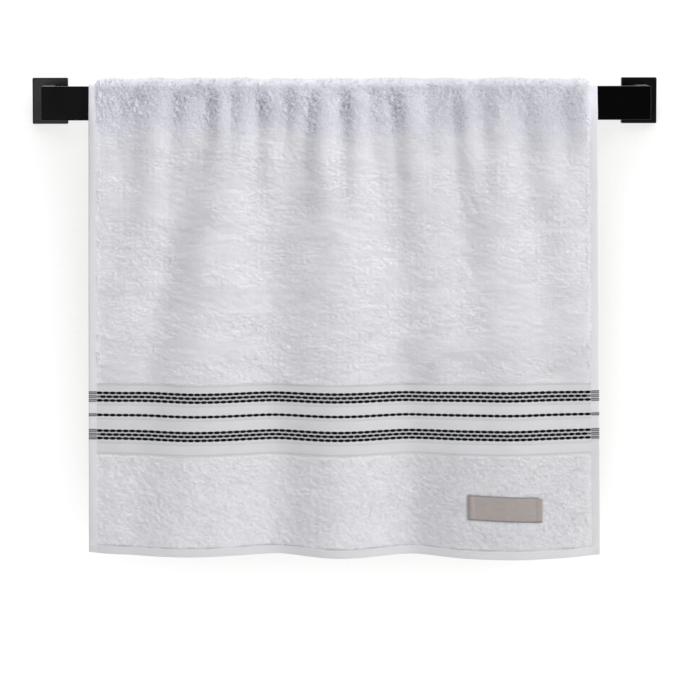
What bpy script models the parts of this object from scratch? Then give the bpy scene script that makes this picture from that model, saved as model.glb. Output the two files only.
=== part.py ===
"""A terry hand towel hanging over a flat, wall-mounted towel rail.

Lengths are in metres. +X runs along the rail to the right, +Y into the wall, +Z up.
The origin is the centre of the left wall plate's back face, on the wall.
The towel is described twice: flat, as it was woven (across its width and along its
length), and hung, as a profile over the bar with folds that stand out from it.
"""

from collections import namedtuple
from math import ceil, cos, pi, sin

import bmesh
import bpy
from mathutils import Vector

MM = 0.001
GAP = 0.3 * MM  # between pieces that touch


def in_metres(table):
    """A table whose rows are given in millimetres."""
    return [row._make(value * MM for value in row) for row in table]


# Rail
PLATE_SPACING = 564 * MM  # between the centres of the two wall plates
PLATE_WIDTH = 34 * MM
PLATE_HEIGHT = 44 * MM
PLATE_THICKNESS = 8 * MM
POST_WIDTH = 12 * MM
POST_HEIGHT = 31.4 * MM
BAR_LENGTH = 576 * MM
BAR_HEIGHT = 32 * MM
BAR_THICKNESS = 10 * MM
BAR_FRONT = 68 * MM  # from the wall to the bar's front face
EDGE_ROUND = 1.0 * MM
EDGE_STEPS = 2
SHARP_ANGLE = 0.6  # radians between two faces, past which their shared edge is shaded sharp
RAIL_MIDDLE = PLATE_SPACING / 2

# Towel, flat
TOWEL_WIDTH = 500 * MM
TOWEL_LENGTH = 800 * MM
SELVEDGE = 8 * MM
HEM = 9.0 * MM
BORDER_START = 95 * MM  # from a hem to the woven border
BORDER_END = 163 * MM
STEP = 1.6 * MM  # over which the pile rises from flat weave
PILE_THICKNESS = 5.0 * MM
FLAT_THICKNESS = 2.2 * MM
HEM_THICKNESS = 3.0 * MM

# Towel, hung
BAR_CLEARANCE = 2.2 * MM  # from the bar to the cloth's inner side
FRONT_DROP = 442.5 * MM  # of flat cloth below the bend over the bar
SAG_SHARE = 0.30  # how much lower a fold's hem hangs, as a share of its rise
HEM_TILT = 4 * MM  # how much lower the front hem hangs on the right

Edge = namedtuple("Edge", "down left right")  # side edges, from the rail's middle
EDGES = in_metres([
    Edge(0, -243.0, 236.8),
    Edge(180, -244.2, 238.8),
    Edge(445, -245.4, 241.6),
])

# Short folds that start at the bar, placed across the flat towel from its left edge
BarFold = namedtuple("BarFold", "across left right rise reach drift")
BAR_FOLDS = in_metres([
    BarFold(8, 12, 24, 2.2, 160, 0),
    BarFold(66, 20, 16, 3.0, 190, -6),
    BarFold(99, 13, 15, 1.5, 110, -5),
    BarFold(128, 10, 11, 2.4, 75, -2),
    BarFold(139, 24, 24, 1.8, 170, 0),
    BarFold(152, 12, 13, 2.4, 85, -2),
    BarFold(178, 13, 14, 2.3, 110, -2),
    BarFold(204, 9, 11, 1.1, 75, -4),
    BarFold(229, 16, 17, 4.4, 150, -2),
    BarFold(261, 13, 19, 4.0, 150, 5),
    BarFold(286, 11, 12, 1.2, 80, 2),
    BarFold(312, 15, 20, 4.2, 160, 8),
    BarFold(340, 16, 15, 1.4, 100, 8),
    BarFold(368, 12, 14, 2.8, 130, 10),
    BarFold(400, 15, 22, 3.0, 150, 12),
    BarFold(444, 17, 20, 2.8, 150, 10),
    BarFold(479, 12, 16, 1.2, 110, 4),
])
BAR_FOLD_TOP = 0.12  # share of the rise left on top of the bar, where the cloth is tight
BAR_FOLD_START = 16 * MM  # below the bend, where the short folds are fully open
BAR_FOLD_FULL = 0.3  # share of its reach down to which a short fold keeps its rise
BACK_REACH_SHARE = 0.7  # how far the short folds run down the back, against the front

FOLD_STEEPNESS = 1.8  # how sharply a fold falls away from its crest
FOLD_SPREAD = 1.15  # how far its foot runs out, against its sides

# Long folds of the drops, below the bend, half way down and at the hem
DropFold = namedtuple(
    "DropFold",
    "bend mid hem left_mid right_mid left_hem right_hem rise_mid rise_hem",
)
FRONT_FOLDS = in_metres([
    DropFold(60, 44, 16, 30, 30, 22, 28, 1.4, 2.2),
    DropFold(136, 113, 93, 46, 60, 90, 97, 9.0, 12.0),
    DropFold(236, 243, 245, 60, 62, 60, 68, 8.5, 13.5),
    DropFold(330, 344, 358, 38, 38, 40, 40, 4.0, 2.4),
    DropFold(384, 406, 412, 40, 48, 95, 92, 4.6, 15.0),
    DropFold(456, 474, 474, 30, 28, 30, 26, 1.4, 1.5),
])
BACK_FOLDS = in_metres([
    DropFold(80, 74, 66, 60, 62, 66, 70, 6.0, 9.0),
    DropFold(190, 196, 206, 56, 64, 70, 66, 7.0, 8.0),
    DropFold(308, 318, 332, 60, 54, 62, 72, 8.0, 11.0),
    DropFold(430, 436, 440, 58, 60, 56, 58, 5.0, 7.0),
])
BEND_WIDTH_SHARE = 0.45  # a long fold's width just below the bend, against half way down
DROP_FOLD_START = 130 * MM  # below the bend, where the long folds are fully open
MID = 0.5  # share of a drop at which a long fold's middle values hold

# Label, on the front near the right corner
LABEL_LEFT = 370 * MM  # across the flat towel
LABEL_RIGHT = 443 * MM
LABEL_HEIGHT = 22.5 * MM
LABEL_BOTTOM = 35.5 * MM  # above the front hem
LABEL_TILT = 2.4 * MM  # how much lower its right end is sewn
LABEL_TOP = LABEL_BOTTOM + LABEL_HEIGHT
LABEL_THICKNESS = 1.2 * MM
LABEL_TURN = 4.5 * MM  # of each end turned under
LABEL_TURN_THICKNESS = 0.6 * MM
LABEL_SEAT = 1.3 * MM  # how far its seams press the pile down
LABEL_MARGIN = 2.0 * MM  # of pressed pile around it
LABEL_LIFT = 0.45 * MM  # off the pressed pile

# Mesh density
COLUMN_STEP = 9.2 * MM
DROP_ROW_STEP = 31 * MM
LABEL_ROW_STEP = 7 * MM
BEND_STEPS = 4

BEND_INNER = BAR_CLEARANCE + EDGE_ROUND  # radius of the cloth's inner side at a bar edge
BEND_LENGTH = (BEND_INNER + PILE_THICKNESS / 2) * pi / 2
CROWN_LENGTH = BAR_THICKNESS - 2 * EDGE_ROUND  # flat on top of the bar
BEND_TOP = FRONT_DROP + BEND_LENGTH
CROWN_END = BEND_TOP + CROWN_LENGTH
BACK_DROP_START = CROWN_END + BEND_LENGTH
BEND_HEIGHT = BAR_HEIGHT / 2 - EDGE_ROUND  # of the two bends' centres above the bar's axis


def new_material(name, colour, roughness, metallic):
    material = bpy.data.materials.new(name)
    material.use_nodes = True
    shader = material.node_tree.nodes["Principled BSDF"]
    shader.inputs["Base Color"].default_value = (*colour, 1.0)
    shader.inputs["Roughness"].default_value = roughness
    shader.inputs["Metallic"].default_value = metallic
    return material


def add_object(name, bm, material, parent):
    """Stores a bmesh as a named, smooth-shaded object under the rail's empty."""
    bmesh.ops.recalc_face_normals(bm, faces=bm.faces)
    mesh = bpy.data.meshes.new(name)
    bm.to_mesh(mesh)
    bm.free()
    mesh.shade_smooth()
    mesh.set_sharp_from_angle(angle=SHARP_ANGLE)
    mesh.materials.append(material)
    obj = bpy.data.objects.new(name, mesh)
    obj.parent = parent
    bpy.context.collection.objects.link(obj)
    return obj


# Rail


def rounded_block(size):
    """A block with its edges rounded, centred on the origin."""
    bm = bmesh.new()
    bmesh.ops.create_cube(bm, size=1.0)
    bmesh.ops.scale(bm, vec=size, verts=bm.verts)
    bmesh.ops.bevel(
        bm,
        geom=bm.edges[:],
        offset=EDGE_ROUND,
        offset_type="OFFSET",
        segments=EDGE_STEPS,
        profile=0.5,
        affect="EDGES",
        material=-1,
    )
    return bm


def make_bar(material, parent):
    bar = add_object(
        "rail_bar", rounded_block((BAR_LENGTH, BAR_THICKNESS, BAR_HEIGHT)), material, parent
    )
    bar.location = (RAIL_MIDDLE, -BAR_FRONT + BAR_THICKNESS / 2, 0)


def make_plate(side, centre_x, material, parent):
    plate = add_object(
        f"wall_plate_{side}",
        rounded_block((PLATE_WIDTH, PLATE_THICKNESS, PLATE_HEIGHT)),
        material,
        parent,
    )
    plate.location = (centre_x, -PLATE_THICKNESS / 2, 0)


def make_post(side, centre_x, material, parent):
    """A flat upright post from the plate's face to the bar's back, as tall as the bar."""
    length = BAR_FRONT - BAR_THICKNESS - PLATE_THICKNESS - 2 * GAP
    post = add_object(
        f"post_{side}", rounded_block((POST_WIDTH, length, POST_HEIGHT)), material, parent
    )
    post.location = (centre_x, -PLATE_THICKNESS - GAP - length / 2, 0)


# Towel


def smooth(value):
    """Eases from 0 to 1 as value goes from 0 to 1."""
    value = min(max(value, 0.0), 1.0)
    return value * value * (3 - 2 * value)


def blend(first, second, share):
    return first + (second - first) * share


def mound(offset, left, right):
    """A fold's cross-section: 1 at its crest, easing to 0 just past its sides."""
    reach = FOLD_SPREAD * (left if offset < 0 else right)
    share = min(abs(offset) / reach, 1.0)
    return cos(share * pi / 2) ** FOLD_STEEPNESS


def bar_fold_rise(fold, across, down, reach_share):
    """How far a short fold lifts the cloth, down from the bend (0 or less is over the bar)."""
    reach = fold.reach * reach_share
    opened = smooth((down + BEND_LENGTH) / (BAR_FOLD_START + BEND_LENGTH))
    opening = blend(BAR_FOLD_TOP, 1.0, opened)
    fading = 1 - smooth((down / reach - BAR_FOLD_FULL) / (1 - BAR_FOLD_FULL))
    crest = fold.across + fold.drift * min(max(down / fold.reach, 0.0), 1.0)
    return fold.rise * opening * fading * mound(across - crest, fold.left, fold.right)


def drop_fold_rise(fold, across, down, drop):
    """How far a long fold lifts the cloth on a drop of the given length."""
    opening = smooth(down / DROP_FOLD_START)
    upper = min(max(down / drop / MID, 0.0), 1.0)
    lower = smooth((down / drop - MID) / (1 - MID))
    crest = blend(blend(fold.bend, fold.mid, upper), fold.hem, lower)
    narrow = blend(BEND_WIDTH_SHARE, 1.0, upper)
    left = blend(fold.left_mid * narrow, fold.left_hem, lower)
    right = blend(fold.right_mid * narrow, fold.right_hem, lower)
    rise = blend(fold.rise_mid, fold.rise_hem, lower)
    return rise * opening * mound(across - crest, left, right)


def fold_rise(across, along):
    """How far the cloth stands out from its profile at a point of the flat towel."""
    if along < (BEND_TOP + CROWN_END) / 2:
        down, drop, long_folds, reach_share = FRONT_DROP - along, FRONT_DROP, FRONT_FOLDS, 1.0
    else:
        down, drop = along - BACK_DROP_START, TOWEL_LENGTH - BACK_DROP_START
        long_folds, reach_share = BACK_FOLDS, BACK_REACH_SHARE
    rise = sum(bar_fold_rise(fold, across, down, reach_share) for fold in BAR_FOLDS)
    return rise + sum(drop_fold_rise(fold, across, down, drop) for fold in long_folds)


def profile(along):
    """A point of the unfolded cloth's inner side, seen from its left edge, and its outward
    normal. Both are (y, z), from the bar's own axis."""
    half = BAR_THICKNESS / 2
    corner = half - EDGE_ROUND
    if along <= FRONT_DROP:
        return Vector((-half - BAR_CLEARANCE, BEND_HEIGHT - (FRONT_DROP - along))), Vector((-1, 0))
    if along < BEND_TOP:
        turn = (along - FRONT_DROP) / BEND_LENGTH * pi / 2
        normal = Vector((-cos(turn), sin(turn)))
        return Vector((-corner, BEND_HEIGHT)) + normal * BEND_INNER, normal
    if along <= CROWN_END:
        return Vector((along - BEND_TOP - corner, BEND_HEIGHT + BEND_INNER)), Vector((0, 1))
    if along < BACK_DROP_START:
        turn = (along - CROWN_END) / BEND_LENGTH * pi / 2
        normal = Vector((sin(turn), cos(turn)))
        return Vector((corner, BEND_HEIGHT)) + normal * BEND_INNER, normal
    return Vector((half + BAR_CLEARANCE, BEND_HEIGHT - (along - BACK_DROP_START))), Vector((1, 0))


def side_edges(down):
    """The towel's left and right edges, from the rail's middle, at a height."""
    down = min(max(down, EDGES[0].down), EDGES[-1].down)
    for upper, lower in zip(EDGES, EDGES[1:]):
        if down <= lower.down:
            share = (down - upper.down) / (lower.down - upper.down)
            return blend(upper.left, lower.left, share), blend(upper.right, lower.right, share)


def pile_share(across, along):
    """1 where loops stand, 0 on flat weave, eased over one step."""
    from_hem = min(along, TOWEL_LENGTH - along)
    from_side = min(across, TOWEL_WIDTH - across)
    in_border = min(from_hem - BORDER_START, BORDER_END - from_hem)
    inside = min(from_hem - HEM, from_side - SELVEDGE, -in_border)
    return smooth(inside / STEP + 0.5)


def on_label_seat(across, along):
    """1 under the label, 0 a step away from it."""
    inside_across = min(across - LABEL_LEFT, LABEL_RIGHT - across)
    inside_along = min(along - LABEL_BOTTOM, LABEL_TOP - along)
    return smooth((min(inside_across, inside_along) + LABEL_MARGIN) / STEP + 0.5)


def cloth_sides(across, along):
    """The cloth's inner and outer side, from the profile, before folds."""
    from_hem = min(along, TOWEL_LENGTH - along)
    flat = blend(HEM_THICKNESS, FLAT_THICKNESS, smooth((from_hem - HEM) / STEP + 0.5))
    thickness = blend(flat, PILE_THICKNESS, pile_share(across, along))
    middle = PILE_THICKNESS / 2
    pressed = LABEL_SEAT * on_label_seat(across, along)
    return middle - thickness / 2, middle + thickness / 2 - pressed


def hang(across, along, height):
    """The hung place of a point at a height off the cloth's profile."""
    point, normal = profile(along)
    rise = fold_rise(across, along)
    point = point + normal * (rise + height)
    down = max(FRONT_DROP - along, along - BACK_DROP_START, 0.0)
    low = down / FRONT_DROP
    point.y -= SAG_SHARE * rise * low**2
    point.y -= HEM_TILT * (across / TOWEL_WIDTH - 0.5) * low**6
    left, right = side_edges(down)
    x = RAIL_MIDDLE + blend(left, right, across / TOWEL_WIDTH)
    return Vector((x, -BAR_FRONT + BAR_THICKNESS / 2 + point.x, point.y))


def steps_between(stops, longest):
    """The stops with even steps between them, none longer than asked."""
    values = [stops[0]]
    for start, end in zip(stops, stops[1:]):
        count = max(1, ceil((end - start) / longest))
        values += [blend(start, end, (i + 1) / count) for i in range(count)]
    return values


def around(stop):
    return [stop - STEP / 2, stop + STEP / 2]


def towel_columns():
    stops = [0, *around(SELVEDGE), *around(LABEL_LEFT - LABEL_MARGIN)]
    stops += [*around(LABEL_RIGHT + LABEL_MARGIN), *around(TOWEL_WIDTH - SELVEDGE), TOWEL_WIDTH]
    return steps_between(stops, COLUMN_STEP)


def towel_rows():
    """Distances along the flat towel: dense at its hems, borders and over the bar."""
    end_zone = [0, *around(HEM), *around(BORDER_START), *around(BORDER_END)]
    label = [*around(LABEL_BOTTOM - LABEL_MARGIN), *around(LABEL_TOP + LABEL_MARGIN)]
    front = steps_between(sorted(end_zone + label) + [FRONT_DROP], DROP_ROW_STEP)
    bend = [blend(FRONT_DROP, BEND_TOP, (i + 1) / BEND_STEPS) for i in range(BEND_STEPS)]
    crown = [(BEND_TOP + CROWN_END) / 2, CROWN_END]
    back_bend = [blend(CROWN_END, BACK_DROP_START, (i + 1) / BEND_STEPS) for i in range(BEND_STEPS)]
    back_zone = [TOWEL_LENGTH - distance for distance in reversed(end_zone)]
    back = steps_between([BACK_DROP_START] + back_zone, DROP_ROW_STEP)[1:]
    return front + bend + crown + back_bend + back


def hung_grid(columns, rows, inner, outer):
    """A sheet with two sides: a flat grid is thickened by extrusion, then hung. The inner
    and outer functions give each side's place from a point of the flat towel."""
    bm = bmesh.new()
    bmesh.ops.create_grid(bm, x_segments=len(columns) - 1, y_segments=len(rows) - 1, size=0.5)
    for vert in bm.verts:
        column = round((vert.co.x + 0.5) * (len(columns) - 1))
        row = round((vert.co.y + 0.5) * (len(rows) - 1))
        vert.co = (columns[column], rows[row], 0)
    raised = bmesh.ops.extrude_face_region(bm, geom=bm.faces[:], use_keep_orig=True)["geom"]
    outer_verts = {item for item in raised if isinstance(item, bmesh.types.BMVert)}
    for vert in bm.verts:
        side = outer if vert in outer_verts else inner
        vert.co = side(vert.co.x, vert.co.y)
    return bm


def make_towel(material, parent):
    bm = hung_grid(
        towel_columns(),
        towel_rows(),
        lambda across, along: hang(across, along, cloth_sides(across, along)[0]),
        lambda across, along: hang(across, along, cloth_sides(across, along)[1]),
    )
    add_object("towel", bm, material, parent)


def make_label(material, parent):
    """A woven tape with both ends turned under, lying on the pressed pile."""
    base = PILE_THICKNESS - LABEL_SEAT + LABEL_LIFT
    turns = [LABEL_LEFT, LABEL_LEFT + LABEL_TURN, LABEL_LEFT + LABEL_TURN + STEP]
    turns += [LABEL_RIGHT - LABEL_TURN - STEP, LABEL_RIGHT - LABEL_TURN, LABEL_RIGHT]
    columns = steps_between(turns, COLUMN_STEP)
    rows = steps_between([LABEL_BOTTOM, LABEL_TOP], LABEL_ROW_STEP)

    def tape(across, along, height):
        tilt = LABEL_TILT * ((across - LABEL_LEFT) / (LABEL_RIGHT - LABEL_LEFT) - 0.5)
        return hang(across, along - tilt, height)

    def tape_top(across, along):
        from_end = min(across - LABEL_LEFT, LABEL_RIGHT - across)
        turned = LABEL_TURN_THICKNESS * smooth((LABEL_TURN + STEP - from_end) / STEP)
        return tape(across, along, base + LABEL_THICKNESS + turned)

    bm = hung_grid(columns, rows, lambda across, along: tape(across, along, base), tape_top)
    add_object("label", bm, material, parent)


def clear_scene():
    for obj in list(bpy.data.objects):
        bpy.data.objects.remove(obj, do_unlink=True)


def main():
    clear_scene()
    cotton = new_material("cotton", colour=(0.80, 0.81, 0.83), roughness=0.95, metallic=0.0)
    tape = new_material("label_tape", colour=(0.40, 0.36, 0.33), roughness=0.8, metallic=0.0)
    black = new_material("black_metal", colour=(0.012, 0.011, 0.011), roughness=0.35, metallic=0.6)

    rail = bpy.data.objects.new("rail", None)
    bpy.context.collection.objects.link(rail)
    for side, centre_x in (("left", 0.0), ("right", PLATE_SPACING)):
        make_plate(side, centre_x, black, rail)
        make_post(side, centre_x, black, rail)
    make_bar(black, rail)
    make_towel(cotton, rail)
    make_label(tape, rail)


main()
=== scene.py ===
"""Looks of a terry hand towel over a flat, wall-mounted towel rail.

The towel is modelled flat, as it was woven, and then hung over the bar by one function,
which gives its place in the room for a point across and along the flat cloth. The cloth,
its pile, the border's dashes, the stitches and the label all go through it. Lengths are in
metres, with the origin at the left wall plate's back.
"""

from collections import namedtuple
from functools import partial
from math import pi, radians

import bmesh
import bpy
import numpy as np
from mathutils import Euler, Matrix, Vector


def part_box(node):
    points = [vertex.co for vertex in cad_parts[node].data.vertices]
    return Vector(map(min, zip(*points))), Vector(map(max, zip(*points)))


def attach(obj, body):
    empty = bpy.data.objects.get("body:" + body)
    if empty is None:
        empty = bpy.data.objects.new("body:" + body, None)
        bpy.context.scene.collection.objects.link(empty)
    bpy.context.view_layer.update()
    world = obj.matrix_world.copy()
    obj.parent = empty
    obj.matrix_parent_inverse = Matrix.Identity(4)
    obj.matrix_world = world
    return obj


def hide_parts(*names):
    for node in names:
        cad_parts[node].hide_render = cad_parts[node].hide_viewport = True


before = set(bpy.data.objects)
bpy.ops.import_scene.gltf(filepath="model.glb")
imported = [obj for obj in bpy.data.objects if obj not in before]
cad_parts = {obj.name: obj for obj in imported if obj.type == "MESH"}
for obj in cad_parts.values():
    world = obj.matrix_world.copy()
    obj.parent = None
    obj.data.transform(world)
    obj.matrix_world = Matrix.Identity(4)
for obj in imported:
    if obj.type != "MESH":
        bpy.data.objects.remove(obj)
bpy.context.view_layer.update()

bl_info = {
    "name": "Hand Towel on a Rail",
    "version": (1, 0, 0),
    "blender": (4, 5, 0),
    "location": "View3D > Sidebar > Towel",
    "description": "Builds a draped terry hand towel with its border, label and rail",
    "category": "Object",
}

MM = 0.001
CLOTH_MAP = "cloth"  # UV map: metres across and along the flat towel

# Rail, read from the frame
BAR_LOW, BAR_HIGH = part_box("rail_bar")
RAIL_MIDDLE = (BAR_LOW.x + BAR_HIGH.x) / 2
BAR_DEPTH = (BAR_LOW.y + BAR_HIGH.y) / 2
BAR_THICKNESS = BAR_HIGH.y - BAR_LOW.y
BAR_HEIGHT = BAR_HIGH.z - BAR_LOW.z
EDGE_ROUND = 1.0 * MM

# Its paint
RUBBED_TONE = 2.6  # of the paint's colour, on rounded edges
ROUNDED = (0.72, 0.98)  # a normal's largest part, on a rounded edge and on a flat face
PAINT_UNEVEN = (-0.05, 0.07)  # least and most that its roughness is off

# Towel, flat
TOWEL_WIDTH = 500 * MM
TOWEL_LENGTH = 800 * MM
SELVEDGE = 8 * MM
HEM = 9.0 * MM
BORDER_START = 95 * MM  # from a hem to the woven border
BORDER_END = 163 * MM
STEP = 1.6 * MM  # over which the ground changes thickness
PILE_THICKNESS = 5.0 * MM  # of the whole cloth, loops and all
FLAT_THICKNESS = 2.2 * MM
HEM_THICKNESS = 3.0 * MM
RIM_ROUND = 1.2 * MM  # the rounding of the cloth's four edges
RIM_SHARE = 0.3  # of its thickness left at the very edge
RIM_STOPS = [0, 0.35 * RIM_ROUND, RIM_ROUND]  # where the mesh follows it
GROUND_INNER = 0.5 * MM  # heights of the loops' roots, off the profile
GROUND_OUTER = 3.3 * MM
GROUND_UNEVEN = 0.45 * MM
RELIEF_LINES = (106.2 * MM, 128.9 * MM, 142.5 * MM)  # troughs in the border, from a hem
RELIEF_WIDTH = 0.8 * MM
RELIEF_DEPTH = 0.45 * MM
RELIEF_SHADE = 0.16  # painted shade: how much darker the weave is painted down in them
EDGE_SHADE = 0.24  # painted shadow of the pile, along its edges
ROW_SHADE = 0.32  # between the rows of a triple
ROW_GAPS = (112.4, 116.0, 148.4, 152.0)  # mm from a hem
# Painted shade in the border's troughs and along the pile's edges, and the grey between a triple's
# rows
RELIEF_TONES = [(line, RELIEF_SHADE) for line in RELIEF_LINES]
RELIEF_TONES += [(BORDER_START + STEP, EDGE_SHADE), (BORDER_END - STEP, EDGE_SHADE)]
RELIEF_TONES += [(line * MM, ROW_SHADE) for line in ROW_GAPS]
RELIEF_TONE_WIDTH = 1.6 * RELIEF_WIDTH
HEM_SHADE = 0.06, 0.42  # least and most painted shadow, where the pile overhangs the hem
HEM_SHADE_WIDTH = 1.9 * MM
TROUGH_TONE = 0.25  # of the root colour, in all those painted shades and in the grey between a triple's rows
GROUND_TONES = 0.75, 0.80  # of the cotton's colour, in the weave's patches
HEM_TONE = 0.80
SELVEDGE_TONE = 0.87
SELVEDGE_TONE_TOP = 0.97  # of the shaded loops' colour, near the bar
SELVEDGE_TONE_LOW = 0.76  # at the lower right, as painted shade
GROUND_PITCH = (1.1 * MM, 1.35 * MM)  # of the weave's threads, across and along
CLOTH_COLUMN = 3.6 * MM
CLOTH_ROW = 3.4 * MM
BEND_ROW = 0.9 * MM

# Towel, hung
BAR_CLEARANCE = 2.2 * MM  # from the bar to the pile's inner side, below the bend
FRONT_DROP = 442.5 * MM  # of flat cloth below the bend over the bar
SAG_SHARE = 0.30  # how much lower a fold's hem hangs, as a share of its rise
SAG_POWER = 2  # how late down the drop it sets in
HEM_TILT = 4 * MM  # how much lower the hems hang on the right than on the left
TILT_POWER = 6  # how late that does
BEND_INNER = BAR_CLEARANCE + EDGE_ROUND
BEND_LENGTH = (BEND_INNER + PILE_THICKNESS / 2) * pi / 2
CROWN_LENGTH = BAR_THICKNESS - 2 * EDGE_ROUND
BEND_TOP = FRONT_DROP + BEND_LENGTH
CROWN_END = BEND_TOP + CROWN_LENGTH
CROWN_MIDDLE = (BEND_TOP + CROWN_END) / 2
BACK_DROP_START = CROWN_END + BEND_LENGTH
BEND_HEIGHT = BAR_HEIGHT / 2 - EDGE_ROUND
SETTLE_PILE = 1.2 * MM  # how far the pile is pressed onto the bar
SETTLE_SELVEDGE = 3.2 * MM  # how far the flat edges are, which lie on it
SETTLE_FADE = 26 * MM  # below the bend, where the cloth hangs free of the bar

Edge = namedtuple("Edge", "down left right")  # side edges, from the rail's middle
EDGES = [
    Edge(0 * MM, -243.0 * MM, 236.8 * MM),
    Edge(180 * MM, -244.2 * MM, 238.8 * MM),
    Edge(445 * MM, -245.4 * MM, 241.6 * MM),
]

# Short folds that start at the bar, in mm: place across, width each way, rise, reach, drift
BarFold = namedtuple("BarFold", "across left right rise reach drift")
BAR_FOLDS = [
    BarFold(8, 12, 24, 2.2, 160, 0),
    BarFold(66, 20, 16, 3.0, 190, -6),
    BarFold(99, 13, 15, 1.5, 110, -5),
    BarFold(128, 10, 11, 2.4, 75, -2),
    BarFold(139, 24, 24, 1.8, 170, 0),
    BarFold(152, 12, 13, 2.4, 85, -2),
    BarFold(178, 13, 14, 2.3, 110, -2),
    BarFold(204, 9, 11, 1.1, 75, -4),
    BarFold(229, 16, 17, 4.4, 150, -2),
    BarFold(261, 13, 19, 4.0, 150, 5),
    BarFold(286, 11, 12, 1.2, 80, 2),
    BarFold(312, 15, 20, 4.2, 160, 8),
    BarFold(340, 16, 15, 1.4, 100, 8),
    BarFold(368, 12, 14, 2.8, 130, 10),
    BarFold(400, 15, 22, 3.0, 150, 12),
    BarFold(444, 17, 20, 2.8, 150, 10),
    BarFold(479, 12, 16, 1.2, 110, 4),
]
BAR_FOLD_TOP = 0.12  # share of the rise left on top of the bar
BAR_FOLD_START = 16 * MM
BAR_FOLD_FADE = 0.3  # share of the reach after which it fades
BACK_REACH_SHARE = 0.7
FOLD_STEEPNESS = 1.8
FOLD_SPREAD = 1.15
FOLD_WANDER = 1.6 * MM

# Long folds of the drops, in mm, below the bend, half way down and at the hem
DropFold = namedtuple(
    "DropFold", "bend mid hem left_mid right_mid left_hem right_hem rise_mid rise_hem"
)
FRONT_FOLDS = [
    DropFold(60, 44, 16, 30, 30, 22, 28, 1.4, 2.2),
    DropFold(136, 113, 93, 46, 60, 90, 97, 9.0, 12.0),
    DropFold(236, 243, 245, 60, 62, 60, 68, 8.5, 13.5),
    DropFold(330, 344, 358, 38, 38, 40, 40, 4.0, 2.4),
    DropFold(384, 406, 412, 40, 48, 95, 92, 4.6, 15.0),
    DropFold(456, 474, 474, 30, 28, 30, 26, 1.4, 1.5),
]
BACK_FOLDS = [
    DropFold(80, 74, 66, 60, 62, 66, 70, 6.0, 9.0),
    DropFold(190, 196, 206, 56, 64, 70, 66, 7.0, 8.0),
    DropFold(308, 318, 332, 60, 54, 62, 72, 8.0, 11.0),
    DropFold(430, 436, 440, 58, 60, 56, 58, 5.0, 7.0),
]
BEND_WIDTH_SHARE = 0.45
DROP_FOLD_START = 130 * MM

# Border: rows of black dashes, from a hem, and whether each starts half a dash later
DashRow = namedtuple("DashRow", "from_hem shifted")
DASH_ROWS = [
    DashRow(110.6 * MM, False),
    DashRow(114.2 * MM, True),
    DashRow(117.8 * MM, False),
    DashRow(132.8 * MM, False),
    DashRow(146.6 * MM, False),
    DashRow(150.2 * MM, True),
    DashRow(153.8 * MM, False),
]
DASH_PITCH = 6.37 * MM
DASH_SIZE = (5.4 * MM, 2.8 * MM, 1.0 * MM)  # along the row, across it, and thick
LINK_WIDTH = 1.9 * MM  # of the grey thread that shows between two dashes
SIDE_LINE_OFFSET = 0.8 * MM  # of a row's two thin lines in the selvedge, from its middle
SIDE_LINE_EDGE = (0.35 * MM, 1.0 * MM)  # where such a line starts to fade, and is gone
LINK_SHADE = 0.84
SIDE_SHADE = 0.84
SIDE_HATCH = 1.0 * MM  # pitch of the fine hatching on those lines, and how deep it is
HATCH_DEPTH = 0.1
BEAD_SIDES = 6
BEAD_RINGS = 4
BEAD_FULLNESS = 4  # 2 is an ellipsoid, more is blunter
BORDER_TWIST = 0.9 * MM  # pitch of the yarn's turns

# Label, on the front near the right corner
LABEL_LEFT = 370 * MM
LABEL_RIGHT = 443 * MM
LABEL_BOTTOM = 35.5 * MM
LABEL_TOP = LABEL_BOTTOM + 22.5 * MM
LABEL_TILT = 2.4 * MM
LABEL_TURN = 4.5 * MM  # of each end turned under
LABEL_TOP_SIDE = 5.35 * MM  # height off the cloth's profile
LABEL_TURN_RISE = 0.6 * MM
LABEL_STEP_DOWN = 1.5 * MM  # how much lower the right turned end starts
LABEL_RIM = 1.5 * MM  # over which its edges bend down into the pile
LABEL_RIM_DROP = 0.9 * MM
LABEL_PRESS = 0.6 * MM  # how far it presses the loops' roots
LABEL_SHEET = 1.1 * MM  # the tape's thickness
LABEL_PUFF = 0.18 * MM
LABEL_STEP = 1.5 * MM
LABEL_EDGE_SHADE = 0.9 * MM  # of painted shadow along its top and bottom, where its edges bend down into the pile
LABEL_PRESS_REACH = 4 * MM
LABEL_TUFT_SHARE = 0.55  # of a tuft's height left beside it
LABEL_SEAM = 2.0 * MM
LABEL_STITCH_PITCH = 2.4 * MM
LABEL_STITCH = (2.0 * MM, 0.35 * MM, 0.35 * MM)
LABEL_THREAD_TONE = 0.8  # of the tape's colour
TAPE_PITCH = (0.7 * MM, 0.9 * MM)
TAPE_TONES = (0.94, 1.06)  # of its colour, in patches
# Of the tape's colour, in the painted shadow along its top and bottom
TAPE_EDGE_SHADE = 0.55

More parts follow.
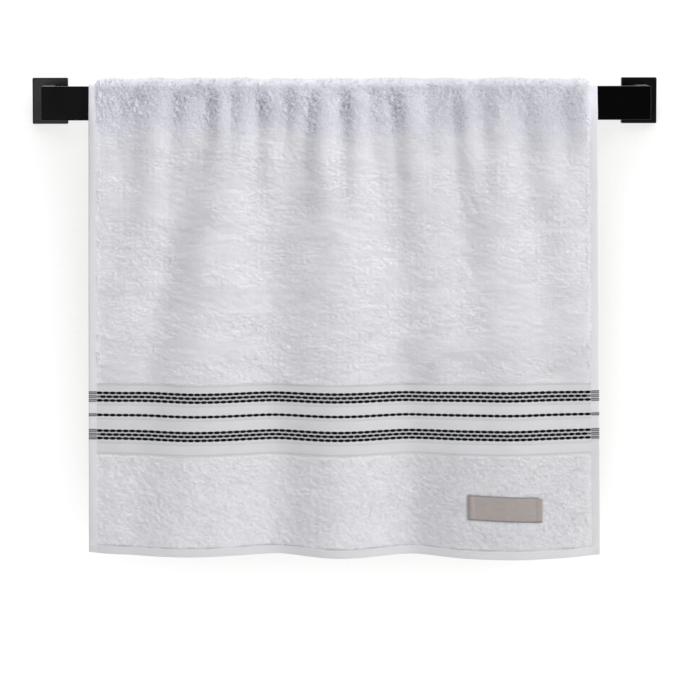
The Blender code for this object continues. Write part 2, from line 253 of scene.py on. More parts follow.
# Pile: tufts of loops, in pieces small enough to export whole
MAIN_PILE = TOWEL_LENGTH - 2 * BORDER_END
PILE_ZONES = (
    ("pile_front_hem", HEM + STEP / 2, BORDER_START - STEP / 2),
    ("pile_front", BORDER_END + STEP / 2, BORDER_END + MAIN_PILE / 3),
    ("pile_bar", BORDER_END + MAIN_PILE / 3, BORDER_END + 2 * MAIN_PILE / 3),
    ("pile_back", BORDER_END + 2 * MAIN_PILE / 3, TOWEL_LENGTH - BORDER_END - STEP / 2),
    ("pile_back_hem", TOWEL_LENGTH - BORDER_START + STEP / 2, TOWEL_LENGTH - HEM - STEP / 2),
)
TUFT_FACES = ((0, 1, 3), (1, 2, 3), (2, 0, 3), (2, 1, 0))
STRAY_FACES = ((0, 1, 4), (0, 4, 3), (1, 2, 5), (1, 5, 4), (2, 0, 3), (2, 3, 5))
STRAY_FACES += ((3, 4, 6), (4, 5, 6), (5, 3, 6), (2, 1, 0))
STRAY_WIDTH = 0.42 * MM
STRAY_HEIGHT = 3.2 * MM  # above the pile's tips
STRAY_RANGE = (0.3, 1.0)  # squared, the share of it that one stands
STRAY_ROOT = 2 * STRAY_HEIGHT / 3  # how deep one starts below them
STRAY_LEAN = 1.3 * MM
STRAY_BEND = 0.35  # share of the lean half way up, and of the width there
STRAY_TAPER = 0.8
STRAY_SEED = 41
TUFT_JITTER = 0.35  # of the spacing
TUFT_SPREAD = 1.75  # from its middle to its three feet
TUFT_ROOT = 0.3 * MM  # how deep its root is sunk in the ground
TUFT_UNEVEN = 0.2
SHORT_UNEVEN = 0.45  # the same for the short pile at the hems
TUFT_SOFTNESS = 0.85  # how much a tuft is shaded as the cloth under it
FLUFF_UNEVEN = 0.5  # the same two for the long tufts over the bar
FLUFF_SOFTNESS = 0.55
EDGE_WAVE = 0.6 * MM  # of the pile's ends at the hems and the borders
EDGE_WAVE_REACH = 6 * MM
PILE_EDGE_REACH = 7 * MM  # over which the pile rises from the selvedges
RAGGED_EDGE = 1.4 * MM
PILE_EDGE_SHARE = 0.35  # of its height left there
TUFT_STRAY = 0.36 * MM
FLUFF = 0.95  # how much longer the tufts stand over the bar
FLUFF_REACH = 70 * MM
LUMP_HEIGHT = 0.4 * MM  # of the brushed pile's soft lumps, and of what lies on them
STREAK_HEIGHT = 0.25 * MM
WISP_HEIGHT = 0.15 * MM
CRUMB_HEIGHT = 0.12 * MM
STREAK_WAVE = 5.0 * MM  # how far the streaks wander along the towel
CRUMBLE = (0.5, 1.5)  # share of the wisps and crumbs where loops lie smooth and stand open
GRAIN_HEIGHT = 0.19 * MM  # of the short pile's loops
GRAIN_CRUMB = 1.2  # how much of them is crumbs
FLUFF_HEIGHT = 0.5 * MM
FLUFF_LUMP = 0.9 * MM
HOLLOW_SHARE = 0.55  # how open the long pile is where the cloth lies low and level
HOLLOW_RISE = 9.3 * MM  # rise of a fold that would close it
HOLLOW_SLOPE = 1.6  # how much more it opens, and takes painted shade, on a fold's left side
HOLLOW_STEP = 3 * MM
HOLLOW_ONSET = 0.2  # how open it is where the bend ends
HOLLOW_RIGHT = (310 * MM, 370 * MM)  # across, where they grow shallower
HOLLOW_RIGHT_SHARE = 0.4  # how much of them is left there
HOLLOW_START = 26 * MM  # below the bend, where it closes again, and how unevenly
HOLLOW_END = 46 * MM
HOLLOW_UNEVEN = 14 * MM
HOLLOW_CLUMP = (0.45, 2.2)  # share of the clumps' height outside and inside such hollows
HOLLOW_UNEVEN_TUFTS = (0.7, 1.3)
TINT_REACH = 44 * MM  # below the bend, where the pile's lavender cast ends, and how unevenly
TINT_UNEVEN = 18 * MM
CROWN_TINT = 0.45  # share of that cast left on top of the bar
TINT_ROOT = 0.88  # of the roots' colour, where the pile has that cast: deeper painted shade in the long pile
PALE_TONES = 0.965, 1.03  # of the cotton's colour, in the pile's patches
TIP_START = 0.8  # how far up a tuft is as pale as its tip; lower, it fades into the painted shade of its root
FIBRE_SCALE = 1500.0  # of the fine fuzz on the loops, per metre
FIBRE_HEIGHT = 0.25 * MM
DARKENED_TONE = 0.85  # of the cotton's colour, for the darker short pile and the painted shade at the lower right
SHORT_DULLED = 0.42  # how much of that tone the short pile has
DULL_LEFT = (20 * MM, 70 * MM)  # across, where that sets in
RIGHT_PAINTED_SHADE = 0.58  # how much more of it the pile has at the lower right, as painted shade
PAINTED_SHADE_RIGHT = (270 * MM, 320 * MM)  # across, where that painted shade sets in
PAINTED_SHADE_TOP = (180 * MM, 215 * MM)  # from a hem, where it ends
MAUVE_SHARE = 0.6  # of a faint mauve cast in broad patches
EDGE_LOOPS = 2000  # single loops along the pile's sides, before they gather into clusters
EDGE_LOOP_SPREAD = 1.1 * MM
EDGE_LOOP_RANGE = (0.4, 3.4)  # of that spread, in from the selvedge
EDGE_LOOP_GATHER = 0.1  # noise above which they stay
EDGE_LOOP_SEED = 43
EDGE_LOOP_SIZE = (2.4 * MM, 0.9 * MM, 0.9 * MM)
LEAN_LOCK = 1.5  # how far a tuft leans onto its lock, against the lock's rise
LEAN_STEP = 1.2 * MM  # over which a lock's slope is taken
LEAN_DOWN = 0.7 * MM
LEAN_SIDEWAYS = 0.5 * MM
LEAN_OUT = 3.4 * MM  # over the right selvedge, where the long pile spreads, and how far in
LEAN_OUT_REACH = 9 * MM

# Soft creases in the front's pile: mm across and along the flat towel, mm long, degrees, mm
Crease = namedtuple("Crease", "across along length turn depth")
CREASES = [
    Crease(168, 347, 67, 0, 0.7),
    Crease(168, 303, 54, -3, 0.6),
    Crease(139, 303, 60, -10, 0.6),
    Crease(180, 236, 22, -30, 0.8),
    Crease(199, 233, 20, 17, 0.7),
    Crease(127, 273, 18, -34, 0.7),
    Crease(134, 206, 19, 0, 0.7),
    Crease(117, 312, 21, -22, 0.7),
    Crease(50, 293, 24, -20, 0.6),
    Crease(43, 246, 29, 0, 0.5),
    Crease(192, 193, 22, -27, 0.6),
    Crease(260, 335, 27, -3, 0.6),
    Crease(263, 304, 34, -6, 0.7),
    Crease(262, 272, 30, 0, 0.6),
    Crease(286, 274, 22, 10, 0.6),
    Crease(279, 239, 62, 1, 0.9),
    Crease(255, 199, 17, -28, 0.7),
    Crease(372, 382, 30, -54, 0.8),
    Crease(375, 335, 43, -65, 0.9),
    Crease(386, 311, 32, -4, 0.7),
    Crease(372, 272, 22, -54, 0.7),
    Crease(398, 261, 39, -4, 0.6),
    Crease(383, 226, 24, -12, 0.6),
    Crease(454, 334, 33, -3, 0.7),
    Crease(465, 308, 51, -5, 0.9),
    Crease(450, 371, 28, -6, 0.6),
    Crease(452, 267, 20, 0, 0.5),
    Crease(455, 228, 16, 0, 0.5),
    Crease(387, 186, 20, -29, 0.7),
    Crease(414, 181, 36, 0, 0.6),
    Crease(458, 188, 55, 13, 0.7),
]
CREASE_WIDTH = 2.6 * MM
CREASE_LIP = 0.25  # how high the pile bulges below one, against its depth
CREASE_LIP_PLACE = 1.7  # how far below, in widths
CREASE_FADE = 0.25  # share of its half length before it fades
CREASE_DEPTH = 0.45  # of the table's depth that still shows in the brushed pile
CREASE_WAVE = 3 * MM

# Noise over the flat towel: mm of a cell across and along, and its seed; in layers, shares too
Noise = namedtuple("Noise", "across along seed")
GROUND_NOISES = ((0.6, Noise(13, 7, 11)), (0.4, Noise(6.5, 3.8, 12)))
WAVE_NOISE = Noise(48, 34, 20)
LUMP_NOISE = Noise(24, 12, 21)
STREAK_NOISE = Noise(11, 3.9, 22)
WISP_NOISE = Noise(5.6, 2.4, 23)
CLUMP_NOISES = ((1, Noise(5, 5, 24)), (1, Noise(2.6, 2.6, 25)))
LEAN_NOISE = Noise(40, 25, 26)
OPEN_NOISE = Noise(34, 22, 27)
CREASE_NOISE = Noise(13, 9, 28)
LONG_LUMP_NOISE = Noise(22, 30, 29)
FOLD_NOISE = Noise(55, 32, 30)
CRUMB_NOISE = Noise(2.8, 1.9, 31)
LABEL_NOISE = Noise(12, 9, 31)
GRAIN_NOISES = ((1, Noise(9, 6, 32)), (1, Noise(4, 3, 33)))
EDGE_NOISES = ((1, Noise(11, 40, 34)), (0.5, Noise(4, 40, 35)))
HOLLOW_NOISE = Noise(17, 60, 36)
EDGE_LOOP_NOISE = Noise(50, 9, 44)

# Hem stitches
STITCH_LINE = HEM - 1.7 * MM
STITCH_PITCH = 3.2 * MM
STITCH_SIZE = (2.7 * MM, 0.5 * MM, 0.3 * MM)
THREAD_TWIST = 0.6 * MM
YARN_TONES = (0.8, 1.15)  # of a yarn's colour: painted shade between its turns, painted highlight on them

# Stage
RAIL_NODES = ("rail_bar", "post_left", "post_right", "wall_plate_left", "wall_plate_right")
WALL_PLACE = 0.5 * MM  # behind the wall plates' backs
WALL_REACH = 4.0
WALL_TOP = 2.0
FLOOR_HEIGHT = -1.1
WALL_PAINT = 0.08  # how much of its tone the wall reflects, as it mostly glows
WALL_SHADOW = (0.80, 0.795, 0.785)  # of its tone, in the painted shadow close behind the towel
SHADOW_TOP = (-20 * MM, 15 * MM)  # heights between which that shadow ends, lit from above
SHADOW_ONSET = (0.6, 0.82)  # of open air, where that shadow is full and where it ends
NEAR_WALL = 160 * MM  # how far the painted soft shadow on the wall reaches
WALL_CORNERS = ((-WALL_REACH, WALL_PLACE, FLOOR_HEIGHT), (WALL_REACH, WALL_PLACE, WALL_TOP))
FLOOR_CORNERS = ((-WALL_REACH, -WALL_REACH, FLOOR_HEIGHT), (WALL_REACH, WALL_REACH, FLOOR_HEIGHT))
FLOOR_TONE = (0.78, 0.77, 0.76)
FLOOR_GLOW = 0.1
SKY_TONE = (0.97, 0.98, 1.0)
WHITE = (1.0, 1.0, 1.0)
LIGHT_TARGET = (RAIL_MIDDLE, BAR_DEPTH, -0.2)

# Lights: metres from the wall behind the rail's middle, metres wide, and the setting for its
# power, of which it has a share
Light = namedtuple("Light", "name place size power share tone")
LIGHTS = (
    Light("key", (6.8, -5.2, 4.4), 3.2, "key_power", 1.0, (1.0, 0.99, 0.97)),
    Light("fill", (-0.8, -3.8, 0.1), 1.3, "fill_power", 1.0, (0.95, 0.96, 1.0)),
    Light("top", (0.0, -0.5, 1.9), 1.2, "top_power", 1.0, WHITE),
    Light("back_left", (-1.6, 2.0, 1.2), 1.4, "back_power", 1.0, WHITE),
    Light("back_right", (1.8, 1.8, 0.4), 1.4, "back_power", 0.6, WHITE),
)

# The photograph's view
CAMERA_PLACE = (-95.7 * MM, -4.0, 166.9 * MM)  # from the wall behind the rail's middle
CAMERA_YAW = 1.44  # degrees to the right
CAMERA_PITCH = 5.82  # degrees down
CAMERA_LENS = 214.2  # mm, for a sensor of this width
CAMERA_SENSOR = 36.0
CAMERA_REACH = 100.0


# The drape, in numpy: each function takes arrays of places on the flat towel


def smooth(value):
    value = np.clip(value, 0.0, 1.0)
    return value * value * (3 - 2 * value)


def blend(first, second, share):
    return first + (second - first) * share


def mound(offset, left, right):
    """A fold's cross-section: 1 at its crest, easing to 0 just past its sides."""
    share = np.abs(offset) / (FOLD_SPREAD * np.where(offset < 0, left, right))
    return np.maximum(np.cos(np.minimum(share, 1.0) * pi / 2), 0.0) ** FOLD_STEEPNESS


def bar_fold_rise(fold, across, down, reach_share):
    reach = fold.reach * MM * reach_share
    opening = smooth((down + BEND_LENGTH) / (BAR_FOLD_START + BEND_LENGTH))
    fading = 1 - smooth((down - BAR_FOLD_FADE * reach) / ((1 - BAR_FOLD_FADE) * reach))
    drift = fold.drift * MM * np.clip(down / (fold.reach * MM), 0.0, 1.0)
    shape = mound(across - fold.across * MM - drift, fold.left * MM, fold.right * MM)
    return fold.rise * MM * blend(BAR_FOLD_TOP, 1.0, opening) * fading * shape


def drop_fold_rise(fold, across, down, drop):
    upper = np.clip(down / drop / 0.5, 0.0, 1.0)
    lower = smooth((down / drop - 0.5) / 0.5)
    crest = blend(blend(fold.bend, fold.mid, upper), fold.hem, lower) * MM
    narrow = blend(BEND_WIDTH_SHARE, 1.0, upper)
    left = blend(fold.left_mid * narrow, fold.left_hem, lower) * MM
    right = blend(fold.right_mid * narrow, fold.right_hem, lower) * MM
    rise = blend(fold.rise_mid, fold.rise_hem, lower) * MM
    return rise * smooth(down / DROP_FOLD_START) * mound(across - crest, left, right)


def side_rise(across, down, drop, long_folds, reach_share):
    rise = sum(bar_fold_rise(fold, across, down, reach_share) for fold in BAR_FOLDS)
    return rise + sum(drop_fold_rise(fold, across, down, drop) for fold in long_folds)


def fold_rise(across, along):
    """How far the cloth stands out from its profile, in folds that wander a little."""
    across = across + FOLD_WANDER * soft_noise(across, along, FOLD_NOISE)
    front = side_rise(across, FRONT_DROP - along, FRONT_DROP, FRONT_FOLDS, 1.0)
    back_drop = TOWEL_LENGTH - BACK_DROP_START
    back = side_rise(across, along - BACK_DROP_START, back_drop, BACK_FOLDS, BACK_REACH_SHARE)
    return np.where(along < CROWN_MIDDLE, front, back)


def profile(along):
    """The unfolded cloth's inner side and its outward normal, as (y, z) from the bar's axis."""
    half = BAR_THICKNESS / 2
    corner = half - EDGE_ROUND
    front_turn = np.clip((along - FRONT_DROP) / BEND_LENGTH, 0, 1) * pi / 2
    back_turn = np.clip((along - CROWN_END) / BEND_LENGTH, 0, 1) * pi / 2
    turn = front_turn + back_turn
    normal = np.stack([-np.cos(turn), np.sin(turn)], -1)
    centre_y = np.clip(along - BEND_TOP, 0, CROWN_LENGTH) - corner
    down = np.maximum(below_bend(along), 0)
    centre = np.stack([centre_y, BEND_HEIGHT - down], -1)
    return centre + normal * BEND_INNER, normal


def settle(across, along):
    """How far the cloth's own weight presses it towards the bar."""
    inside = smooth((from_selvedge(across) - SELVEDGE) / (3 * STEP) + 0.5)
    pressed = blend(SETTLE_SELVEDGE, SETTLE_PILE, inside)
    return pressed * (1 - smooth(below_bend(along) / SETTLE_FADE))


def hang(across, along, height):
    """The hung place of points at a height off the cloth's profile, with x, y and z last."""
    across, along, height = np.broadcast_arrays(across, along, height)
    point, normal = profile(along)
    rise = fold_rise(across, along)
    lift = rise + height - settle(across, along)
    down = np.maximum(below_bend(along), 0)
    low = down / FRONT_DROP
    tilt = HEM_TILT * (across / TOWEL_WIDTH - 0.5) * low**TILT_POWER
    drop = SAG_SHARE * rise * low**SAG_POWER + tilt
    places = [edge.down for edge in EDGES]
    left = np.interp(down, places, [edge.left for edge in EDGES])
    right = np.interp(down, places, [edge.right for edge in EDGES])
    x = RAIL_MIDDLE + blend(left, right, across / TOWEL_WIDTH)
    y = BAR_DEPTH + point[..., 0] + normal[..., 0] * lift
    z = point[..., 1] + normal[..., 1] * lift - drop
    return np.stack([x, y, z], -1)


def from_hem(along):
    return np.minimum(along, TOWEL_LENGTH - along)


def from_selvedge(across):
    return np.minimum(across, TOWEL_WIDTH - across)


def below_bend(along):
    """Distance down from the nearer bend, negative on top of the bar."""
    return np.maximum(FRONT_DROP - along, along - BACK_DROP_START)


def label_tilt(across):
    """How much lower the label is sewn on at a place across, as it is a little crooked."""
    return LABEL_TILT * ((across - LABEL_LEFT) / (LABEL_RIGHT - LABEL_LEFT) - 0.5)


def pile_share(across, along):
    """1 where loops stand, 0 on flat weave."""
    hem_side = from_hem(along)
    in_border = np.minimum(hem_side - BORDER_START, BORDER_END - hem_side)
    inside = np.minimum(np.minimum(hem_side - HEM, from_selvedge(across) - SELVEDGE), -in_border)
    return smooth(inside / STEP + 0.5)


def off_label(across, along):
    """Distance outside the label's outline, negative under it."""
    tilt = label_tilt(across)
    outside_across = np.maximum(LABEL_LEFT - across, across - LABEL_RIGHT)
    outside_along = np.maximum(LABEL_BOTTOM - tilt - along, along + tilt - LABEL_TOP)
    return np.maximum(outside_across, outside_along)


def soft_noise(across, along, noise):
    """Smooth noise from -1 to 1 over the flat towel."""
    cell_across, cell_along = noise.across * MM, noise.along * MM
    columns = int(TOWEL_WIDTH / cell_across) + 3
    rows = int(TOWEL_LENGTH / cell_along) + 3
    lattice = np.random.default_rng(noise.seed).uniform(-1, 1, (rows, columns))
    x = np.clip(across, 0, TOWEL_WIDTH) / cell_across
    y = np.clip(along, 0, TOWEL_LENGTH) / cell_along
    column, row = np.floor(x).astype(int), np.floor(y).astype(int)
    x, y = smooth(x - column), smooth(y - row)
    lower = blend(lattice[row, column], lattice[row, column + 1], x)
    upper = blend(lattice[row + 1, column], lattice[row + 1, column + 1], x)
    return blend(lower, upper, y)


def layered_noise(across, along, layers):
    """Several noises, added up by their shares."""
    return sum(share * soft_noise(across, along, noise) for share, noise in layers)


def relief(along):
    """Fine troughs across the border, where its weave changes."""
    hem_side = from_hem(along)
    return sum(np.exp(-(((hem_side - line) / RELIEF_WIDTH) ** 2)) for line in RELIEF_LINES)


def rim(across, along):
    """The cloth's thickness near its four edges, as a share of the full one: a rounded rim."""
    from_edge = np.minimum(from_selvedge(across), from_hem(along)) / RIM_ROUND
    return RIM_SHARE + (1 - RIM_SHARE) * np.sqrt(1 - np.clip(1 - from_edge, 0, 1) ** 2)


def ground_sides(across, along):
    """The inner and outer side of the woven ground, from the profile."""
    flat = blend(HEM_THICKNESS, FLAT_THICKNESS, smooth((from_hem(along) - HEM) / STEP + 0.5))
    half = flat / 2 * rim(across, along)
    share = pile_share(across, along)
    middle = PILE_THICKNESS / 2
    uneven = GROUND_UNEVEN * layered_noise(across, along, GROUND_NOISES)
    pressed = LABEL_PRESS * smooth(0.5 - (off_label(across, along) - STEP) / (2 * STEP))
    inner = blend(middle - half, GROUND_INNER + uneven, share)
    outer = blend(middle + half - RELIEF_DEPTH * relief(along), GROUND_OUTER + uneven, share)
    return inner, outer - pressed * share


# Meshes


def steps_between(stops, longest):
    """The stops, with even steps between them that are no longer than asked."""
    values = [stops[0]]
    for start, end in zip(stops, stops[1:]):
        count = max(1, int(np.ceil((end - start) / longest - 1e-6)))
        values += [blend(start, end, (i + 1) / count) for i in range(count)]
    return np.array(values)


def around(stop, reach):
    return [stop - reach, stop, stop + reach]


def cloth_columns():
    edge = [*RIM_STOPS, *around(SELVEDGE, STEP / 2)]
    far_edge = [TOWEL_WIDTH - stop for stop in reversed(edge)]
    return steps_between(edge + far_edge, CLOTH_COLUMN)


def cloth_rows():
    lines = [*RIM_STOPS, *around(HEM, STEP / 2)]
    lines += [*around(BORDER_START, STEP / 2), *around(BORDER_END, STEP / 2)]
    for line in RELIEF_LINES:
        lines += around(line, RELIEF_WIDTH)
    front = steps_between(sorted(lines) + [FRONT_DROP], CLOTH_ROW)
    crown = steps_between([FRONT_DROP, BEND_TOP, CROWN_END, BACK_DROP_START], BEND_ROW)
    back_lines = [TOWEL_LENGTH - line for line in sorted(lines, reverse=True)]
    back = steps_between([BACK_DROP_START] + back_lines, CLOTH_ROW)
    return np.concatenate([front, crown[1:], back[1:]])


def add_piece(name, mesh, material):
    """Links a finished mesh as a piece of the object, riding on its one body."""
    piece = bpy.data.objects.new(name, mesh)
    mesh.materials.append(material)
    mesh.shade_smooth()
    bpy.context.scene.collection.objects.link(piece)
    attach(piece, "root")
    return piece


def set_cloth_map(mesh, across, along):
    """Gives a mesh the flat towel's own coordinates, in metres, as its UV map."""
    corners = np.empty(len(mesh.loops), dtype=np.int32)
    mesh.loops.foreach_get("vertex_index", corners)
    layer = mesh.uv_layers.new(name=CLOTH_MAP)
    flat = np.stack([across, along], -1)[corners]
    layer.uv.foreach_set("vector", flat.ravel())


def set_share(mesh, name, values):
    """Stores one number from 0 to 1 for each point, for a material to read."""
    attribute = mesh.attributes.new(name, "FLOAT", "POINT")
    attribute.data.foreach_set("value", np.asarray(values, dtype=np.float32))


def slab(columns, rows):
    """A flat closed slab on a grid: places across, places along, and 1 on its outer side."""
    bm = bmesh.new()
    across_steps, along_steps = len(columns) - 1, len(rows) - 1
    bmesh.ops.create_grid(bm, x_segments=across_steps, y_segments=along_steps, size=0.5)
    outer = bmesh.ops.extrude_face_region(bm, geom=bm.faces[:], use_keep_orig=True)["geom"]
    bmesh.ops.translate(
        bm, vec=(0, 0, 1), verts=[item for item in outer if isinstance(item, bmesh.types.BMVert)]
    )
    bmesh.ops.recalc_face_normals(bm, faces=bm.faces)
    mesh = bpy.data.meshes.new("slab")
    bm.to_mesh(mesh)
    bm.free()
    place = np.empty(len(mesh.vertices) * 3)
    mesh.vertices.foreach_get("co", place)
    place = place.reshape(-1, 3)
    across = columns[np.rint((place[:, 0] + 0.5) * across_steps).astype(int)]
    along = rows[np.rint((place[:, 1] + 0.5) * along_steps).astype(int)]
    return mesh, across, along, place[:, 2]


def move_points(mesh, places):
    mesh.vertices.foreach_set("co", places.ravel())
    mesh.update()


def hang_slab(name, columns, rows, sides):
    """A slab hung on the rail, its two sides given by a function of the flat towel."""
    mesh, across, along, side = slab(columns, rows)
    mesh.name = name
    inner, outer = sides(across, along)
    move_points(mesh, hang(across, along, blend(inner, outer, side)))
    set_cloth_map(mesh, across, along)
    return mesh, across, along


def cloth_normals(across, along, height):
    """Outward directions of a surface whose height off the profile is given by a function."""

    def place(u, v):
        return hang(u, v, height(u, v))

    step = 0.5 * MM
    to_right = place(across + step, along) - place(across - step, along)
    to_back = place(across, along + step) - place(across, along - step)
    normal = np.cross(to_right, to_back)
    return normal / np.linalg.norm(normal, axis=-1, keepdims=True)


def mesh_from_copies(name, faces, across, along, height):
    """One mesh of many small shapes: each array holds a row of points for every copy."""
    copies, points = across.shape
    places = hang(across, along, height).reshape(-1, 3)
    all_faces = np.arange(copies)[:, None, None] * points + np.asarray(faces)[None]
    mesh = bpy.data.meshes.new(name)
    mesh.from_pydata(places, [], all_faces.reshape(-1, len(faces[0])))
    set_cloth_map(mesh, across.ravel(), along.ravel())
    return mesh


def thread_bead():
    """Points and triangles of a thread's float: a ball with its poles at the two ends."""
    bm = bmesh.new()
    bmesh.ops.create_uvsphere(bm, u_segments=BEAD_SIDES, v_segments=BEAD_RINGS, radius=0.5)
    bmesh.ops.rotate(bm, verts=bm.verts, matrix=Euler((0, radians(90), 0)).to_matrix())
    bmesh.ops.triangulate(bm, faces=bm.faces)
    bm.verts.index_update()
    points = np.array([vert.co[:] for vert in bm.verts])
    faces = [[vert.index for vert in face.verts] for face in bm.faces]
    bm.free()
    ring = np.linalg.norm(points[:, 1:], axis=1, keepdims=True)
    full = 0.5 * np.sqrt(np.clip(1 - np.abs(2 * points[:, :1]) ** BEAD_FULLNESS, 0, 1))
    points[:, 1:] *= np.where(ring > 1e-6, full / np.maximum(ring, 1e-6), 0)
    return points, faces


def add_threads(name, across, along, height, size, turn, material):
    """Joins many thread floats, each turned by an angle on the cloth, into one piece."""
    points, faces = thread_bead()
    length, width, thickness = size
    turn = np.broadcast_to(turn, np.shape(across))[:, None]
    height = np.broadcast_to(height, np.shape(across))[:, None]
    run, side = points[None, :, 0] * length, points[None, :, 1] * width
    bead_across = across[:, None] + run * np.cos(turn) - side * np.sin(turn)
    bead_along = along[:, None] + run * np.sin(turn) + side * np.cos(turn)
    bead_height = height + points[None, :, 2] * thickness
    mesh = mesh_from_copies(name, faces, bead_across, bead_along, bead_height)
    return add_piece(name, mesh, material)


# Materials


class Nodes:
    """Adds shader nodes to one tree, with their values and links given by socket name."""

    def __init__(self, tree):
        self.tree = tree

    def add(self, kind, settings=None, **inputs):
        node = self.tree.nodes.new(kind)
        for name, value in (settings or {}).items():
            setattr(node, name, value)
        for name, value in inputs.items():
            self.feed(node.inputs[name.replace("_", " ")], value)
        return node

    def feed(self, socket, value):
        if isinstance(value, bpy.types.NodeSocket):
            self.tree.links.new(value, socket)
        else:
            socket.default_value = value

    def math(self, operation, *values, clamp=False):
        node = self.add("ShaderNodeMath", {"operation": operation, "use_clamp": clamp})
        for socket, value in zip(node.inputs, values):
            self.feed(socket, value)
        return node.outputs["Value"]

    def distance(self, value, line):
        return self.math("ABSOLUTE", self.math("SUBTRACT", value, line))

    def wave(self, place, pitch):
        """A sine from -1 to 1 that comes back with a pitch."""
        turns = self.math("DIVIDE", place, pitch)
        return self.math("SINE", self.math("MULTIPLY", turns, 2 * pi))

    def ease(self, value, low, high, to_low=0.0, to_high=1.0):
        ends = {"From_Min": low, "From_Max": high, "To_Min": to_low, "To_Max": to_high}
        easing = {"interpolation_type": "SMOOTHSTEP"}
        return self.add("ShaderNodeMapRange", easing, Value=value, **ends).outputs["Result"]

    def mix(self, factor, first, second):
        node = self.add("ShaderNodeMix", {"data_type": "RGBA"})
        for socket, value in ((0, factor), (6, first), (7, second)):
            self.feed(node.inputs[socket], value)
        return node.outputs[2]

    def split(self, vector):
        return self.add("ShaderNodeSeparateXYZ", Vector=vector).outputs

    def cloth_map(self):
        return self.add("ShaderNodeUVMap", {"uv_map": CLOTH_MAP}).outputs["UV"]

    def share(self, name):
        """One of the numbers that set_share stores."""
        return self.add("ShaderNodeAttribute", {"attribute_name": name}).outputs["Fac"]

    def weave(self, place, pitch):
        across, along = pitch
        group = {"node_tree": weave_group()}
        threads = {"Across_Pitch": across, "Along_Pitch": along}
        return self.add("ShaderNodeGroup", group, Vector=place, **threads).outputs["Height"]

    def mottle(self, place, scale, contrast):
        group = {"node_tree": mottle_group()}
        patches = self.add("ShaderNodeGroup", group, Vector=place, Scale=scale, Contrast=contrast)
        return patches.outputs["Mask"]

    def bump(self, height, strength, distance):
        node = self.add("ShaderNodeBump", Height=height, Strength=strength, Distance=distance)
        return node.outputs["Normal"]


def shader_group(name, inputs, output):
    """A node group with its input sockets and one number out, and a builder for its nodes."""
    tree = bpy.data.node_groups.new(name, "ShaderNodeTree")
    for socket, kind in inputs.items():
        tree.interface.new_socket(name=socket, in_out="INPUT", socket_type=kind)
    tree.interface.new_socket(name=output, in_out="OUTPUT", socket_type="NodeSocketFloat")
    nodes = Nodes(tree)
    return nodes, nodes.add("NodeGroupInput").outputs, nodes.add("NodeGroupOutput").inputs[output]


def weave_group():
    """Plain weave: threads over and under each other, with a pitch each way."""
    if "Weave" in bpy.data.node_groups:
        return bpy.data.node_groups["Weave"]
    inputs = {
        "Vector": "NodeSocketVector",
        "Across Pitch": "NodeSocketFloat",
        "Along Pitch": "NodeSocketFloat",
    }
    nodes, given, height = shader_group("Weave", inputs, "Height")
    flat = nodes.split(given["Vector"])
    across = nodes.wave(flat["X"], given["Across Pitch"])
    along = nodes.wave(flat["Y"], given["Along Pitch"])
    checks = nodes.math("MULTIPLY", across, along)
    nodes.feed(height, nodes.math("MULTIPLY_ADD", checks, 0.5, 0.5))
    return nodes.tree


def mottle_group():
    """Soft uneven patches from 0 to 1, stretched by a scale for each axis."""
    if "Mottle" in bpy.data.node_groups:
        return bpy.data.node_groups["Mottle"]
    inputs = {
        "Vector": "NodeSocketVector",
        "Scale": "NodeSocketVector",
        "Contrast": "NodeSocketFloat",
    }
    nodes, given, mask = shader_group("Mottle", inputs, "Mask")
    scaled = nodes.add("ShaderNodeVectorMath", {"operation": "MULTIPLY"})
    nodes.feed(scaled.inputs[0], given["Vector"])
    nodes.feed(scaled.inputs[1], given["Scale"])
    noise = nodes.add("ShaderNodeTexNoise", Vector=scaled.outputs["Vector"], Scale=1.0, Detail=3.0)
    centred = nodes.math("SUBTRACT", noise.outputs["Fac"], 0.5)
    nodes.feed(mask, nodes.math("MULTIPLY_ADD", centred, given["Contrast"], 0.5, clamp=True))
    return nodes.tree


def new_material(name, **inputs):
    """A material with its shader's plain values set, and a builder for its nodes."""
    material = bpy.data.materials.new(name)
    material.use_nodes = True
    shader = material.node_tree.nodes["Principled BSDF"].inputs
    for socket, value in inputs.items():
        shader[socket.replace("_", " ")].default_value = value
    return material, Nodes(material.node_tree), shader


def colour(values, share=1.0):
    return (*(value * share for value in values), 1.0)


def tones(values, shares):
    return [colour(values, share) for share in shares]


def cloth_place(nodes):
    """The flat towel's own coordinates, whole and split, and the distance to its nearer hem."""
    place = nodes.cloth_map()
    flat = nodes.split(place)
    hem_side = nodes.math("MINIMUM", flat["Y"], nodes.math("SUBTRACT", TOWEL_LENGTH, flat["Y"]))
    return place, flat, hem_side


